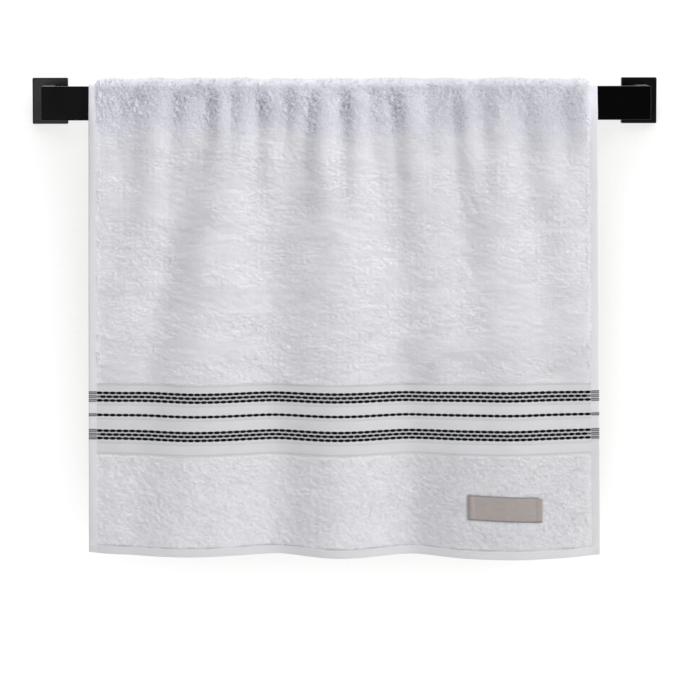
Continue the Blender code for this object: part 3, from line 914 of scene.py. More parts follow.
def ground_material(settings):
    """White woven cotton, with the border's dark threads where they run under the weave, and
    painted shade in its troughs, along the pile's edges, under the pile's overhang at the hem and
    on the selvedge at the lower right.
    """
    material, nodes, shader = new_material(
        "woven_cotton", Roughness=0.9, Sheen_Weight=0.12, Sheen_Roughness=0.6
    )
    place, flat, hem_side = cloth_place(nodes)
    from_side = nodes.math("MINIMUM", flat["X"], nodes.math("SUBTRACT", TOWEL_WIDTH, flat["X"]))
    on_selvedge = nodes.ease(from_side, SELVEDGE - 0.3 * MM, SELVEDGE + 0.3 * MM, 1.0, 0.0)
    off_selvedge = nodes.math("SUBTRACT", 1.0, on_selvedge)
    near_row = 1.0
    for row in DASH_ROWS:
        near_row = nodes.math("MINIMUM", near_row, nodes.distance(hem_side, row.from_hem))
    link = nodes.ease(near_row, 0.3 * LINK_WIDTH, 0.7 * LINK_WIDTH, LINK_SHADE, 0.0)
    hatch = nodes.wave(flat["X"], SIDE_HATCH)
    hatch = nodes.math("MULTIPLY_ADD", hatch, HATCH_DEPTH, SIDE_SHADE)
    side_line = nodes.distance(near_row, SIDE_LINE_OFFSET)
    side_line = nodes.math("MULTIPLY", nodes.ease(side_line, *SIDE_LINE_EDGE, 1.0, 0.0), hatch)
    dark = nodes.math("MULTIPLY", link, off_selvedge)
    dark = nodes.math("MAXIMUM", dark, nodes.math("MULTIPLY", side_line, on_selvedge))
    patches = nodes.mottle(place, scale=(60, 140, 1), contrast=1.6)
    cotton = nodes.mix(patches, *tones(settings.cotton, GROUND_TONES))
    # Painted shade in the troughs and along the pile's edges, with the grey between a triple's
    # rows
    shade = 0.0
    for line, depth in RELIEF_TONES:
        trough = nodes.ease(nodes.distance(hem_side, line), 0.0, RELIEF_TONE_WIDTH, depth, 0.0)
        shade = nodes.math("MAXIMUM", shade, trough)
    # Painted shadow under the pile's overhang at the hem, broken up in patches
    under_pile = nodes.distance(hem_side, HEM - 0.2 * STEP)
    under_pile = nodes.ease(under_pile, 0.0, HEM_SHADE_WIDTH, 1.0, 0.0)
    broken = nodes.mottle(place, scale=(48, 5, 1), contrast=3.5)
    broken = nodes.ease(broken, 0.0, 1.0, *HEM_SHADE)
    shade = nodes.math("MAXIMUM", shade, nodes.math("MULTIPLY", under_pile, broken))
    shade = nodes.math("MULTIPLY", shade, off_selvedge)
    on_hem = nodes.ease(hem_side, HEM - STEP, HEM, 1.0, 0.0)
    cotton = nodes.mix(on_hem, cotton, colour(settings.cotton, HEM_TONE))
    by_bar = nodes.ease(nodes.math("SUBTRACT", FRONT_DROP, flat["Y"]), 0.0, TINT_REACH, 1.0, 0.0)
    selvedge = colour(settings.cotton, SELVEDGE_TONE)
    selvedge = nodes.mix(by_bar, selvedge, colour(settings.shade, SELVEDGE_TONE_TOP))
    # Painted shade on the selvedge at the lower right
    low_right_shade = nodes.ease(hem_side, BORDER_START, BORDER_END, 1.0, 0.0)
    low_right_shade = nodes.math("MULTIPLY", low_right_shade, nodes.ease(flat["X"], *PAINTED_SHADE_RIGHT))
    selvedge = nodes.mix(low_right_shade, selvedge, colour(settings.cotton, SELVEDGE_TONE_LOW))
    cotton = nodes.mix(on_selvedge, cotton, selvedge)
    cotton = nodes.mix(shade, cotton, colour(settings.root, TROUGH_TONE))
    nodes.feed(shader["Base Color"], nodes.mix(dark, cotton, colour(settings.dash_black)))
    weave = nodes.weave(place, GROUND_PITCH)
    nodes.feed(shader["Normal"], nodes.bump(weave, strength=0.45, distance=0.25 * MM))
    return material


def pile_material(settings):
    """Terry loops: paler at their tips, with painted shade low between them and deeper in the long
    pile's hollows, darker in the short pile, with painted shade at the lower right, and bluer in
    the long pile.
    """
    material, nodes, shader = new_material(
        "terry_loops", Roughness=0.95, Sheen_Weight=0.25, Sheen_Roughness=0.5
    )
    place, flat, hem_side = cloth_place(nodes)
    patches = nodes.mottle(place, scale=(90, 190, 1), contrast=2.0)
    pale = nodes.mix(patches, *tones(settings.cotton, PALE_TONES))
    cast = nodes.mottle(place, scale=(16, 9, 1), contrast=3.0)
    pale = nodes.mix(nodes.math("MULTIPLY", cast, MAUVE_SHARE), pale, colour(settings.mauve))
    # Darker short pile, and painted shade at the lower right
    short = nodes.ease(hem_side, BORDER_START, BORDER_END, SHORT_DULLED, 0.0)
    short = nodes.math("MULTIPLY", short, nodes.ease(flat["X"], *DULL_LEFT))
    right = nodes.ease(hem_side, *PAINTED_SHADE_TOP, RIGHT_PAINTED_SHADE, 0.0)
    right = nodes.math("MULTIPLY", right, nodes.ease(flat["X"], *PAINTED_SHADE_RIGHT))
    darkened = nodes.math("ADD", short, right)
    pale = nodes.mix(darkened, pale, colour(settings.cotton, DARKENED_TONE))
    front_down = nodes.math("SUBTRACT", FRONT_DROP, flat["Y"])
    back_down = nodes.math("SUBTRACT", flat["Y"], BACK_DROP_START)
    down = nodes.math("MAXIMUM", front_down, back_down)
    ragged = nodes.mottle(place, scale=(26, 34, 1), contrast=3.0)
    reach = nodes.math("MULTIPLY_ADD", ragged, -TINT_UNEVEN, down)
    tint = nodes.ease(reach, 0.6 * TINT_REACH, TINT_REACH, 1.0, 0.0)
    tint = nodes.math("MULTIPLY", tint, nodes.ease(down, -BEND_LENGTH, 0.0, CROWN_TINT, 1.0))
    pale = nodes.mix(tint, pale, colour(settings.shade))
    # Painted shade low on each tuft, deeper in the long pile and in the folds' hollows
    root = nodes.mix(tint, *tones(settings.root, (1.0, TINT_ROOT)))
    root = nodes.mix(nodes.share("hollow"), root, colour(settings.hollow))
    loops = nodes.mix(nodes.ease(nodes.share("tip"), 0.0, TIP_START), root, pale)
    nodes.feed(shader["Base Color"], loops)
    fibres = nodes.add("ShaderNodeTexNoise", Vector=place, Scale=FIBRE_SCALE, Detail=3.0)
    fuzz = nodes.bump(fibres.outputs["Fac"], strength=0.5, distance=FIBRE_HEIGHT)
    nodes.feed(shader["Normal"], fuzz)
    return material


def yarn_material(name, tone, pitch):
    """Twisted yarn, its turns slanting across each float, with painted shade between the turns and
    painted highlight on them.
    """
    material, nodes, shader = new_material(name, Roughness=0.9, Specular_IOR_Level=0.1)
    flat = nodes.split(nodes.cloth_map())
    twist = nodes.wave(nodes.math("ADD", flat["X"], flat["Y"]), pitch)
    turns = nodes.math("MULTIPLY_ADD", twist, 0.5, 0.5)
    # Painted shade between the turns, painted highlight on them
    nodes.feed(shader["Base Color"], nodes.mix(turns, *tones(tone, YARN_TONES)))
    nodes.feed(shader["Normal"], nodes.bump(turns, strength=0.6, distance=0.15 * MM))
    return material


def tape_material(settings):
    """Taupe woven tape with a fine satin rib, and painted shadow along its top and bottom edges.
    """
    material, nodes, shader = new_material(
        "taupe_tape", Roughness=0.6, Sheen_Weight=0.2, Sheen_Roughness=0.4
    )
    place = nodes.cloth_map()
    patches = nodes.mottle(place, scale=(160, 420, 1), contrast=1.8)
    tape = nodes.mix(patches, *tones(settings.taupe, TAPE_TONES))
    # Painted shadow along the tape's top and bottom edges
    edge = colour(settings.taupe, TAPE_EDGE_SHADE)
    nodes.feed(shader["Base Color"], nodes.mix(nodes.share("edge"), tape, edge))
    weave = nodes.weave(place, TAPE_PITCH)
    nodes.feed(shader["Normal"], nodes.bump(weave, strength=0.45, distance=0.15 * MM))
    return material


def paint_material(name, settings, gloss):
    """Satin black paint: a fine orange-peel grain, rubbed a little paler on rounded edges."""
    material, nodes, shader = new_material(name, Specular_IOR_Level=gloss)
    place = nodes.add("ShaderNodeTexCoord").outputs["Object"]
    sides = nodes.add("ShaderNodeVectorMath", {"operation": "ABSOLUTE"})
    nodes.feed(sides.inputs[0], nodes.add("ShaderNodeNewGeometry").outputs["Normal"])
    steep = nodes.split(sides.outputs["Vector"])
    flattest = nodes.math("MAXIMUM", nodes.math("MAXIMUM", steep["X"], steep["Y"]), steep["Z"])
    rub = nodes.mottle(place, scale=(90, 90, 90), contrast=2.5)
    worn = nodes.math("MULTIPLY", nodes.ease(flattest, *ROUNDED, 1.0, 0.0), rub)
    nodes.feed(shader["Base Color"], nodes.mix(worn, *tones(settings.paint, (1.0, RUBBED_TONE))))
    dust = nodes.mottle(place, scale=(30, 30, 30), contrast=1.2)
    roughness = [settings.paint_roughness + change for change in PAINT_UNEVEN]
    nodes.feed(shader["Roughness"], nodes.ease(dust, 0.0, 1.0, *roughness))
    grain = nodes.add("ShaderNodeTexNoise", Vector=place, Scale=1400.0, Detail=2.0)
    peel = nodes.bump(grain.outputs["Fac"], strength=0.18, distance=0.08 * MM)
    nodes.feed(shader["Normal"], peel)
    return material


def one_sided(name, tone, share, glow, roughness):
    """A backdrop that shows from its front only, so views from behind it stay open.

    It has a share of its tone as paint, and glows, with a painted shadow in the glow where
    something stands near it.
    """
    material, nodes, shader = new_material(name, Roughness=roughness, Emission_Strength=glow)
    shader["Base Color"].default_value = colour(tone, share)
    # Painted shadow: the glow darkens where something stands near, below a height
    open_air = nodes.add("ShaderNodeAmbientOcclusion", {"samples": 8}, Distance=NEAR_WALL)
    lit = nodes.ease(open_air.outputs["AO"], *SHADOW_ONSET)
    height = nodes.split(nodes.add("ShaderNodeTexCoord").outputs["Object"])["Z"]
    lit = nodes.math("MAXIMUM", lit, nodes.ease(height, *SHADOW_TOP))
    shadow = [value * warm for value, warm in zip(tone, WALL_SHADOW)]
    nodes.feed(shader["Emission Color"], nodes.mix(lit, colour(shadow), colour(tone)))
    behind = nodes.add("ShaderNodeNewGeometry").outputs["Backfacing"]
    choose = nodes.add("ShaderNodeMixShader", Fac=behind)
    nodes.feed(choose.inputs[1], material.node_tree.nodes["Principled BSDF"].outputs["BSDF"])
    nodes.feed(choose.inputs[2], nodes.add("ShaderNodeBsdfTransparent").outputs["BSDF"])
    output = material.node_tree.nodes["Material Output"]
    nodes.feed(output.inputs["Surface"], choose.outputs["Shader"])
    return material


# What a user may change

colour_setting = partial(bpy.props.FloatVectorProperty, subtype="COLOR", min=0.0, max=1.0)
factor_setting = partial(bpy.props.FloatProperty, subtype="FACTOR", min=0.0, max=1.0)
length_setting = partial(bpy.props.FloatProperty, unit="LENGTH")
power_setting = partial(bpy.props.FloatProperty, unit="POWER", min=0.0)


class TowelSettings(bpy.types.PropertyGroup):
    """The towel's yarns and pile."""

    cotton: colour_setting(
        name="Cotton",
        description="Colour of the woven ground and of the loops' tips",
        default=(0.90, 0.905, 0.94),
    )
    # Painted shade: darkens the loops low down, between them
    root: colour_setting(
        name="Loop roots",
        description="Colour down between the loops",
        default=(0.86, 0.87, 0.91),
    )
    shade: colour_setting(
        name="Shaded loops",
        description="Colour of the fluffed loops over the bar",
        default=(0.915, 0.92, 1.0),
    )
    # Painted shade, down between the long loops in the folds' hollows and on the folds' left sides
    hollow: colour_setting(
        name="Hollow loops",
        description="Colour down between the long loops in the folds' hollows",
        default=(0.38, 0.42, 0.50),
    )
    mauve: colour_setting(
        name="Mauve cast",
        description="Colour of the faint broad patches in the pile",
        default=(0.92, 0.90, 0.945),
    )
    dash_black: colour_setting(
        name="Border yarn",
        description="Colour of the border's dark yarn",
        default=(0.006, 0.006, 0.007),
    )
    pile_step: length_setting(
        name="Loop spacing",
        description="Distance between neighbouring tufts of loops",
        default=1.36 * MM,
        min=1.0 * MM,
    )
    pile_height: length_setting(
        name="Loop height",
        description="Height of the tufts on the main pile, from their roots",
        default=1.35 * MM,
    )
    stray_loops: bpy.props.IntProperty(
        name="Stray loops",
        description="How many single loops are scattered over the bar, before they thin out",
        default=9000,
        min=0,
    )
    short_pile_height: length_setting(
        name="Short loop height",
        description="Height of the tufts between a border and its hem",
        default=1.1 * MM,
    )


class LabelSettings(bpy.types.PropertyGroup):
    """The sewn-on tape, which is bare."""

    taupe: colour_setting(
        name="Tape",
        description="Colour of the woven tape",
        default=(0.392, 0.351, 0.337),
    )


class RailSettings(bpy.types.PropertyGroup):
    """The painted rail."""

    paint: colour_setting(
        name="Paint",
        description="Colour of the black paint",
        default=(0.0014, 0.0012, 0.0012),
    )
    bar_gloss: factor_setting(
        name="Bar gloss",
        description="How strongly the bar reflects",
        default=0.05,
    )
    plate_gloss: factor_setting(
        name="Plate gloss",
        description="How strongly the wall plates and posts reflect",
        default=0.24,
    )
    paint_roughness: factor_setting(
        name="Paint roughness",
        description="How dull the paint is",
        default=0.26,
        min=0.1,
        max=0.9,
    )


class StageSettings(bpy.types.PropertyGroup):
    """Wall, floor and lights."""

    wall_tone: colour_setting(
        name="Wall",
        description="Colour of the wall behind the rail",
        default=(0.93, 0.93, 0.93),
    )
    wall_glow: bpy.props.FloatProperty(
        name="Wall glow",
        description="Light that the wall gives off, so that it photographs white",
        default=1.06,
        min=0.0,
    )
    key_power: power_setting(
        name="Key light",
        description="Power of the large soft light, high on the right",
        default=500.0,
    )
    fill_power: power_setting(
        name="Fill light",
        description="Power of the large soft light on the left",
        default=16.0,
    )
    top_power: power_setting(
        name="Top light",
        description="Power of the soft light above the rail",
        default=13.0,
    )
    back_power: power_setting(
        name="Back lights",
        description="Power of the two soft lights behind the wall, for views from there",
        default=14.0,
    )
    sky: bpy.props.FloatProperty(
        name="Sky",
        description="Strength of the even light from all round",
        default=0.25,
        min=0.0,
    )


# Pieces


class MakeCloth(bpy.types.Operator):
    """Weave the towel's ground as one thin sheet and hang it over the bar"""

    bl_idname = "towel.make_cloth"
    bl_label = "Cloth"

    def execute(self, context):
        settings = context.scene.towel
        mesh, across, along = hang_slab("towel_cloth", cloth_columns(), cloth_rows(), ground_sides)
        cloth = add_piece("towel_cloth", mesh, ground_material(settings))
        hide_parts("towel")
        return {"FINISHED"}


def scattered(start, end, step, seed):
    """Uneven rows of places between two distances along the towel, off the selvedges."""
    rng = np.random.default_rng(seed)
    columns = int((TOWEL_WIDTH - 2 * SELVEDGE + 2 * RAGGED_EDGE) / step)
    rows = int((end - start) / step)
    row, column = np.mgrid[0:rows, 0:columns]
    shift = rng.uniform(-TUFT_JITTER, TUFT_JITTER, (2, rows, columns))
    across = SELVEDGE - RAGGED_EDGE + (column + 0.25 + 0.5 * (row % 2) + shift[0]) * step
    along = start + (row + 0.5 + shift[1]) * (end - start) / rows
    along = along + EDGE_WAVE * edge_waves(across, along)
    ragged = SELVEDGE + rng.uniform(-RAGGED_EDGE, RAGGED_EDGE, across.shape)
    keep = from_selvedge(across) > ragged
    return across[keep], along[keep], rng


def creases(across, along):
    """Soft troughs with a low lip below each, where the pile has been crushed."""
    waved = along + CREASE_WAVE * soft_noise(across, along, CREASE_NOISE)
    height = np.zeros(np.shape(across))
    for crease in CREASES:
        turn = radians(crease.turn)
        to_right, upward = across - crease.across * MM, waved - crease.along * MM
        run = to_right * np.cos(turn) + upward * np.sin(turn)
        above = (upward * np.cos(turn) - to_right * np.sin(turn)) / CREASE_WIDTH
        fading = 1 - smooth(np.abs(run) / (crease.length * MM) * 2 - CREASE_FADE)
        lip = CREASE_LIP * np.exp(-((above + CREASE_LIP_PLACE) ** 2))
        shape = lip - np.exp(-(above**2))
        height = height + CREASE_DEPTH * crease.depth * MM * fading * shape
    return height


def edge_waves(across, along):
    """How far the pile's ends wander over the hems and the borders, against EDGE_WAVE."""
    hem_side = from_hem(along)
    ends = np.array([HEM, BORDER_START, BORDER_END])
    nearest = np.abs(hem_side[..., None] - ends).min(-1)
    waves = layered_noise(across, along, EDGE_NOISES)
    return waves * (1 - smooth(nearest / EDGE_WAVE_REACH))


def locks(across, along):
    """The pile's uneven height: brushed lumps and wisps, and grains where it is short."""
    waved = along + STREAK_WAVE * soft_noise(across, along, WAVE_NOISE)
    wisp = 1 - 2 * np.abs(soft_noise(across, waved, WISP_NOISE))
    crumb = soft_noise(across, along, CRUMB_NOISE)
    standing = smooth(0.5 + soft_noise(across, along, OPEN_NOISE))
    brushed = (WISP_HEIGHT * wisp + CRUMB_HEIGHT * crumb) * blend(*CRUMBLE, standing)
    brushed = brushed + LUMP_HEIGHT * soft_noise(across, waved, LUMP_NOISE)
    brushed = brushed + STREAK_HEIGHT * soft_noise(across, waved, STREAK_NOISE)
    brushed = brushed + creases(across, along)
    grain = GRAIN_HEIGHT * (layered_noise(across, waved, GRAIN_NOISES) + GRAIN_CRUMB * crumb)
    clump = layered_noise(across, along, CLUMP_NOISES)
    clump = clump * blend(*HOLLOW_CLUMP, hollows(across, along))
    long_lump = FLUFF_LUMP * soft_noise(across, along, LONG_LUMP_NOISE)
    main = blend(brushed, FLUFF_HEIGHT * clump + long_lump, near_bar(along))
    return np.where(from_hem(along) < BORDER_START, grain, main)


def hollows(across, along):
    """1 where the long pile gapes in a fold's hollow or on its left side, 0 farther down; it also
    places the painted shade there.
    """
    across, along = np.broadcast_arrays(across, along)
    down = below_bend(along)
    wander = HOLLOW_UNEVEN * soft_noise(across, along, HOLLOW_NOISE)
    fading = 1 - smooth((down + wander - HOLLOW_START) / (HOLLOW_END - HOLLOW_START))
    hollow = fading * smooth(down / BEND_LENGTH + HOLLOW_ONSET)
    start, end = HOLLOW_RIGHT
    hollow *= blend(1.0, HOLLOW_RIGHT_SHARE, smooth((across - start) / (end - start)))
    near = hollow > 0
    across, along = across[near], along[near]
    slope = fold_rise(across + HOLLOW_STEP, along) - fold_rise(across - HOLLOW_STEP, along)
    slope = slope / (2 * HOLLOW_STEP)
    rise = fold_rise(across, along) / HOLLOW_RISE
    hollow[near] *= smooth(HOLLOW_SHARE - rise + HOLLOW_SLOPE * slope)
    return hollow


def near_bar(along):
    """1 on top of the bar, easing to 0 where the pile stops fluffing up."""
    return 1 - smooth(below_bend(along) / FLUFF_REACH)


def pile_top(settings, across, along):
    """The height of the pile's tips off the profile, before each tuft's own difference."""
    main = settings.pile_height * (1 + FLUFF * near_bar(along))
    height = np.where(from_hem(along) < BORDER_START, settings.short_pile_height, main)
    height += locks(across, along)
    pressed = blend(LABEL_TUFT_SHARE, 1.0, smooth(off_label(across, along) / LABEL_PRESS_REACH))
    from_side = smooth((from_selvedge(across) - SELVEDGE) / PILE_EDGE_REACH)
    pressed *= blend(PILE_EDGE_SHARE, 1.0, from_side)
    return ground_sides(across, along)[1] + height * pressed


def tuft_lean(across, along):
    """How far a tuft's tip leans across and along: onto its lock, and down with the cloth."""
    to_right = locks(across + LEAN_STEP, along) - locks(across - LEAN_STEP, along)
    to_back = locks(across, along + LEAN_STEP) - locks(across, along - LEAN_STEP)
    downhill = np.clip((along - CROWN_MIDDLE) / FLUFF_REACH, -1, 1)
    sideways = LEAN_SIDEWAYS * soft_noise(across, along, LEAN_NOISE)
    to_selvedge = TOWEL_WIDTH - SELVEDGE - across
    sideways += LEAN_OUT * near_bar(along) * smooth(1 - to_selvedge / LEAN_OUT_REACH)
    return LEAN_LOCK * to_right + sideways, LEAN_LOCK * to_back + LEAN_DOWN * downhill


def soften_tufts(mesh, across, along):
    """Shades each tuft as part of the whole pile, so it looks soft and its locks still show."""
    pile = cloth_normals(across, along, lambda u, v: GROUND_OUTER + locks(u, v))
    own = np.empty(len(mesh.vertices) * 3)
    mesh.vertices.foreach_get("co", own)
    own = own.reshape(-1, 4, 3)
    own = own - own[:, :3].mean(1, keepdims=True)
    own /= np.linalg.norm(own, axis=-1, keepdims=True)
    softness = blend(TUFT_SOFTNESS, FLUFF_SOFTNESS, near_bar(along))
    normal = blend(own, pile[:, None], softness[:, None, None])
    normal /= np.linalg.norm(normal, axis=-1, keepdims=True)
    mesh.normals_split_custom_set_from_vertices(normal.reshape(-1, 3))


def three_ways(rng, count):
    """Three even directions round each of many places, each set turned its own way."""
    return rng.uniform(0, 2 * pi, count)[:, None] + np.arange(3) * 2 * pi / 3


class MakePile(bpy.types.Operator):
    """Stand the terry loops on the ground as small tufts, gathered into locks"""

    bl_idname = "towel.make_pile"
    bl_label = "Pile"

    def execute(self, context):
        settings = context.scene.towel
        material = pile_material(settings)
        for seed, (name, start, end) in enumerate(PILE_ZONES):
            across, along, rng = scattered(start, end, settings.pile_step, seed)
            under_label = off_label(across, along) < -LABEL_RIM
            across, along = across[~under_label], along[~under_label]
            count = len(across)
            root = ground_sides(across, along)[1]
            height = pile_top(settings, across, along) - root
            hollow = hollows(across, along)
            uneven = FLUFF_UNEVEN * blend(*HOLLOW_UNEVEN_TUFTS, hollow)
            uneven = blend(TUFT_UNEVEN, uneven, near_bar(along))
            uneven = np.where(from_hem(along) < BORDER_START, SHORT_UNEVEN, uneven)
            height *= 1 + uneven * rng.uniform(-1, 1, count)
            lean_across, lean_along = tuft_lean(across, along)
            lean_across += rng.normal(0, TUFT_STRAY, count)
            lean_along += rng.normal(0, TUFT_STRAY, count)
            turn = three_ways(rng, count)
            radius = TUFT_SPREAD * settings.pile_step
            feet_across = across[:, None] + radius * np.cos(turn)
            feet_along = along[:, None] + radius * np.sin(turn)
            tuft_across = np.column_stack([feet_across, across + lean_across])
            tuft_along = np.column_stack([feet_along, along + lean_along])
            heights = np.column_stack([root - TUFT_ROOT] * 3 + [root + height])
            mesh = mesh_from_copies(name, TUFT_FACES, tuft_across, tuft_along, heights)
            set_share(mesh, "tip", np.tile([0.0, 0.0, 0.0, 1.0], count))
            # The hollows, which also carry the painted shade there
            set_share(mesh, "hollow", np.repeat(hollow, 4))
            add_piece(name, mesh, material)
            soften_tufts(mesh, across, along)
        return {"FINISHED"}


class MakeFluff(bpy.types.Operator):
    """Let single loops stray out of the long pile over the bar"""

    bl_idname = "towel.make_fluff"
    bl_label = "Stray loops"

    def execute(self, context):
        settings = context.scene.towel
        rng = np.random.default_rng(STRAY_SEED)
        count = settings.stray_loops
        across = rng.uniform(SELVEDGE, TOWEL_WIDTH - SELVEDGE, count)
        along = rng.uniform(FRONT_DROP - FLUFF_REACH, BACK_DROP_START + FLUFF_REACH, count)
        kept = rng.uniform(0, 1, count) < near_bar(along)
        across, along = across[kept], along[kept]
        count = len(across)
        turn = three_ways(rng, count)
        lean_across, lean_along = rng.normal(0, STRAY_LEAN, (2, count))
        top = pile_top(settings, across, along)
        height = STRAY_HEIGHT * rng.uniform(*STRAY_RANGE, count) ** 2
        wide, narrow = STRAY_WIDTH / 2 * np.cos(turn), STRAY_WIDTH / 2 * np.sin(turn)
        bent_across = (across + STRAY_BEND * lean_across)[:, None] + STRAY_TAPER * wide
        bent_along = (along + STRAY_BEND * lean_along)[:, None] + STRAY_TAPER * narrow
        mesh = mesh_from_copies(
            "stray_loops",
            STRAY_FACES,
            np.column_stack([across[:, None] + wide, bent_across, across + lean_across]),
            np.column_stack([along[:, None] + narrow, bent_along, along + lean_along]),
            np.column_stack([top - STRAY_ROOT] * 3 + [top + 0.5 * height] * 3 + [top + height]),
        )
        set_share(mesh, "tip", np.tile([0.0] * 3 + [1.0] * 4, count))
        add_piece("stray_loops", mesh, pile_material(settings))
        return {"FINISHED"}


class MakeEdgeLoops(bpy.types.Operator):
    """Let the outermost loops stand out in clusters along the pile's two sides"""

    bl_idname = "towel.make_edge_loops"
    bl_label = "Edge loops"

    def execute(self, context):
        settings = context.scene.towel
        rng = np.random.default_rng(EDGE_LOOP_SEED)
        along = rng.uniform(BORDER_END + STEP, TOWEL_LENGTH - BORDER_END - STEP, EDGE_LOOPS)
        across = SELVEDGE + EDGE_LOOP_SPREAD * rng.uniform(*EDGE_LOOP_RANGE, EDGE_LOOPS)
        across = np.where(rng.uniform(0, 1, EDGE_LOOPS) < 0.5, across, TOWEL_WIDTH - across)
        kept = soft_noise(across, along, EDGE_LOOP_NOISE) > EDGE_LOOP_GATHER
        across, along = across[kept], along[kept]
        height = np.maximum(pile_top(settings, across, along), ground_sides(across, along)[1])
        turn = rng.uniform(0, pi, len(across))
        loops = pile_material(settings)
        piece = add_threads(
            "edge_loops", across, along, height, EDGE_LOOP_SIZE, turn, loops
        )
        set_share(piece.data, "tip", np.ones(len(piece.data.vertices)))
        return {"FINISHED"}


class MakeBorder(bpy.types.Operator):
    """Float the border's dark yarn over the weave, in rows of lens-shaped dashes"""

    bl_idname = "towel.make_border"
    bl_label = "Border"

    def execute(self, context):
        yarn = yarn_material("border_yarn", context.scene.towel.dash_black, BORDER_TWIST)
        places = []
        for row in DASH_ROWS:
            first = SELVEDGE + DASH_SIZE[0] * 0.5 + (DASH_PITCH / 2 if row.shifted else 0)
            dashes = np.arange(first, TOWEL_WIDTH - SELVEDGE - DASH_SIZE[0] * 0.4, DASH_PITCH)
            places.append(np.stack([dashes, np.full(len(dashes), row.from_hem)]))
        across, hem_side = np.concatenate(places, 1)
        surface = PILE_THICKNESS / 2 + FLAT_THICKNESS / 2
        for end, along in (("front", hem_side), ("back", TOWEL_LENGTH - hem_side)):
            add_threads(
                f"border_dashes_{end}", across, along, surface, DASH_SIZE, 0.0, yarn
            )
        return {"FINISHED"}


class MakeStitches(bpy.types.Operator):
    """Sew the two hems with white thread"""

    bl_idname = "towel.make_stitches"
    bl_label = "Hem stitches"

    def execute(self, context):
        thread = yarn_material("sewing_thread", context.scene.towel.cotton, THREAD_TWIST)
        across = np.arange(STITCH_PITCH / 2, TOWEL_WIDTH, STITCH_PITCH)
        surface = PILE_THICKNESS / 2 + HEM_THICKNESS / 2
        for end, line in (("front", STITCH_LINE), ("back", TOWEL_LENGTH - STITCH_LINE)):
            along = np.full(len(across), line)
            add_threads(
                f"hem_stitches_{end}", across, along, surface, STITCH_SIZE, 0.0, thread
            )
        return {"FINISHED"}


def label_sides(across, along):
    """The tape's inner and outer side: thicker where its ends are turned, its edges bent down."""
    from_end = np.minimum(across - LABEL_LEFT, LABEL_RIGHT - across)
    from_edge = np.minimum(along - LABEL_BOTTOM, LABEL_TOP - along)
    turned = LABEL_TURN_RISE * smooth((LABEL_TURN + STEP - from_end) / STEP)
    bent = (1 - np.clip(np.minimum(from_end, from_edge) / LABEL_RIM, 0, 1)) ** 2 * LABEL_RIM_DROP
    puff = LABEL_PUFF * soft_noise(across, along, LABEL_NOISE)
    outer = LABEL_TOP_SIDE + turned + puff - bent
    return outer - LABEL_SHEET - turned, outer


class MakeLabel(bpy.types.Operator):
    """Sew on the bare woven tape, its two ends turned under"""

    bl_idname = "towel.make_label"
    bl_label = "Label"

    def execute(self, context):
        settings = context.scene.towel_label
        tape = tape_material(settings)
        stops = [LABEL_LEFT + stop for stop in (0, LABEL_RIM, LABEL_TURN, LABEL_TURN + STEP)]
        stops += [LABEL_RIGHT - (stop - LABEL_LEFT) for stop in reversed(stops)]
        columns = steps_between(stops, LABEL_STEP)
        rows = [LABEL_BOTTOM, LABEL_BOTTOM + LABEL_RIM, LABEL_TOP - LABEL_RIM, LABEL_TOP]
        mesh, across, along, side = slab(columns, steps_between(rows, LABEL_STEP))
        mesh.name = "sewn_label"
        inner, outer = label_sides(across, along)
        tilt = label_tilt(across)
        half = (LABEL_TOP - LABEL_BOTTOM) / 2
        upper = np.clip((along - LABEL_BOTTOM) / half - 1, 0, 1)
        lowered = smooth((across - LABEL_RIGHT + LABEL_TURN) / LABEL_STEP)
        along = along - LABEL_STEP_DOWN * upper * lowered
        move_points(mesh, hang(across, along - tilt, blend(inner, outer, side)))
        set_cloth_map(mesh, across, along)
        # Where that painted shadow lies, along the top and bottom edges
        from_edge = np.minimum(along - LABEL_BOTTOM, LABEL_TOP - along)
        set_share(mesh, "edge", np.clip(1 - from_edge / LABEL_EDGE_SHADE, 0, 1))
        label = add_piece("sewn_label", mesh, tape)
        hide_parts("label")
        thread_tone = colour(settings.taupe, LABEL_THREAD_TONE)[:3]
        thread = yarn_material("label_thread", thread_tone, THREAD_TWIST)
        seam = np.arange(LABEL_BOTTOM + LABEL_RIM, LABEL_TOP - LABEL_RIM, LABEL_STITCH_PITCH)
        ends = [LABEL_LEFT + LABEL_SEAM, LABEL_RIGHT - LABEL_SEAM]
        across = np.repeat(ends, len(seam))
        along = np.tile(seam, 2)
        height = label_sides(across, along)[1]
        along = along - label_tilt(across)
        stitches = add_threads(
            "label_stitches", across, along, height, LABEL_STITCH, pi / 2, thread
        )
        return {"FINISHED"}


class FinishRail(bpy.types.Operator):
    """Paint the bar, its posts and its wall plates satin black"""

    bl_idname = "towel.finish_rail"
    bl_label = "Rail finish"

    def execute(self, context):
        settings = context.scene.towel_rail
        bar_paint = paint_material("black_bar_paint", settings, settings.bar_gloss)
        plate_paint = paint_material("black_plate_paint", settings, settings.plate_gloss)
        for node in RAIL_NODES:
            paint = bar_paint if node == "rail_bar" else plate_paint
            for slot in bpy.data.objects[node].material_slots:
                slot.material = paint
        return {"FINISHED"}


def backdrop(name, corners, material):
    """A flat stage plane between two corners, which faces the room."""
    bm = bmesh.new()
    low, high = (Vector(corner) for corner in corners)
    if high.z - low.z > high.y - low.y:
        points = [low, (high.x, low.y, low.z), high, (low.x, low.y, high.z)]
    else:
        points = [low, (high.x, low.y, low.z), high, (low.x, high.y, low.z)]
    bm.faces.new([bm.verts.new(point) for point in points])
    mesh = bpy.data.meshes.new(name)
    bm.to_mesh(mesh)
    bm.free()
    mesh.materials.append(material)
    plane = bpy.data.objects.new(name, mesh)
    bpy.context.scene.collection.objects.link(plane)
    plane.visible_shadow = False


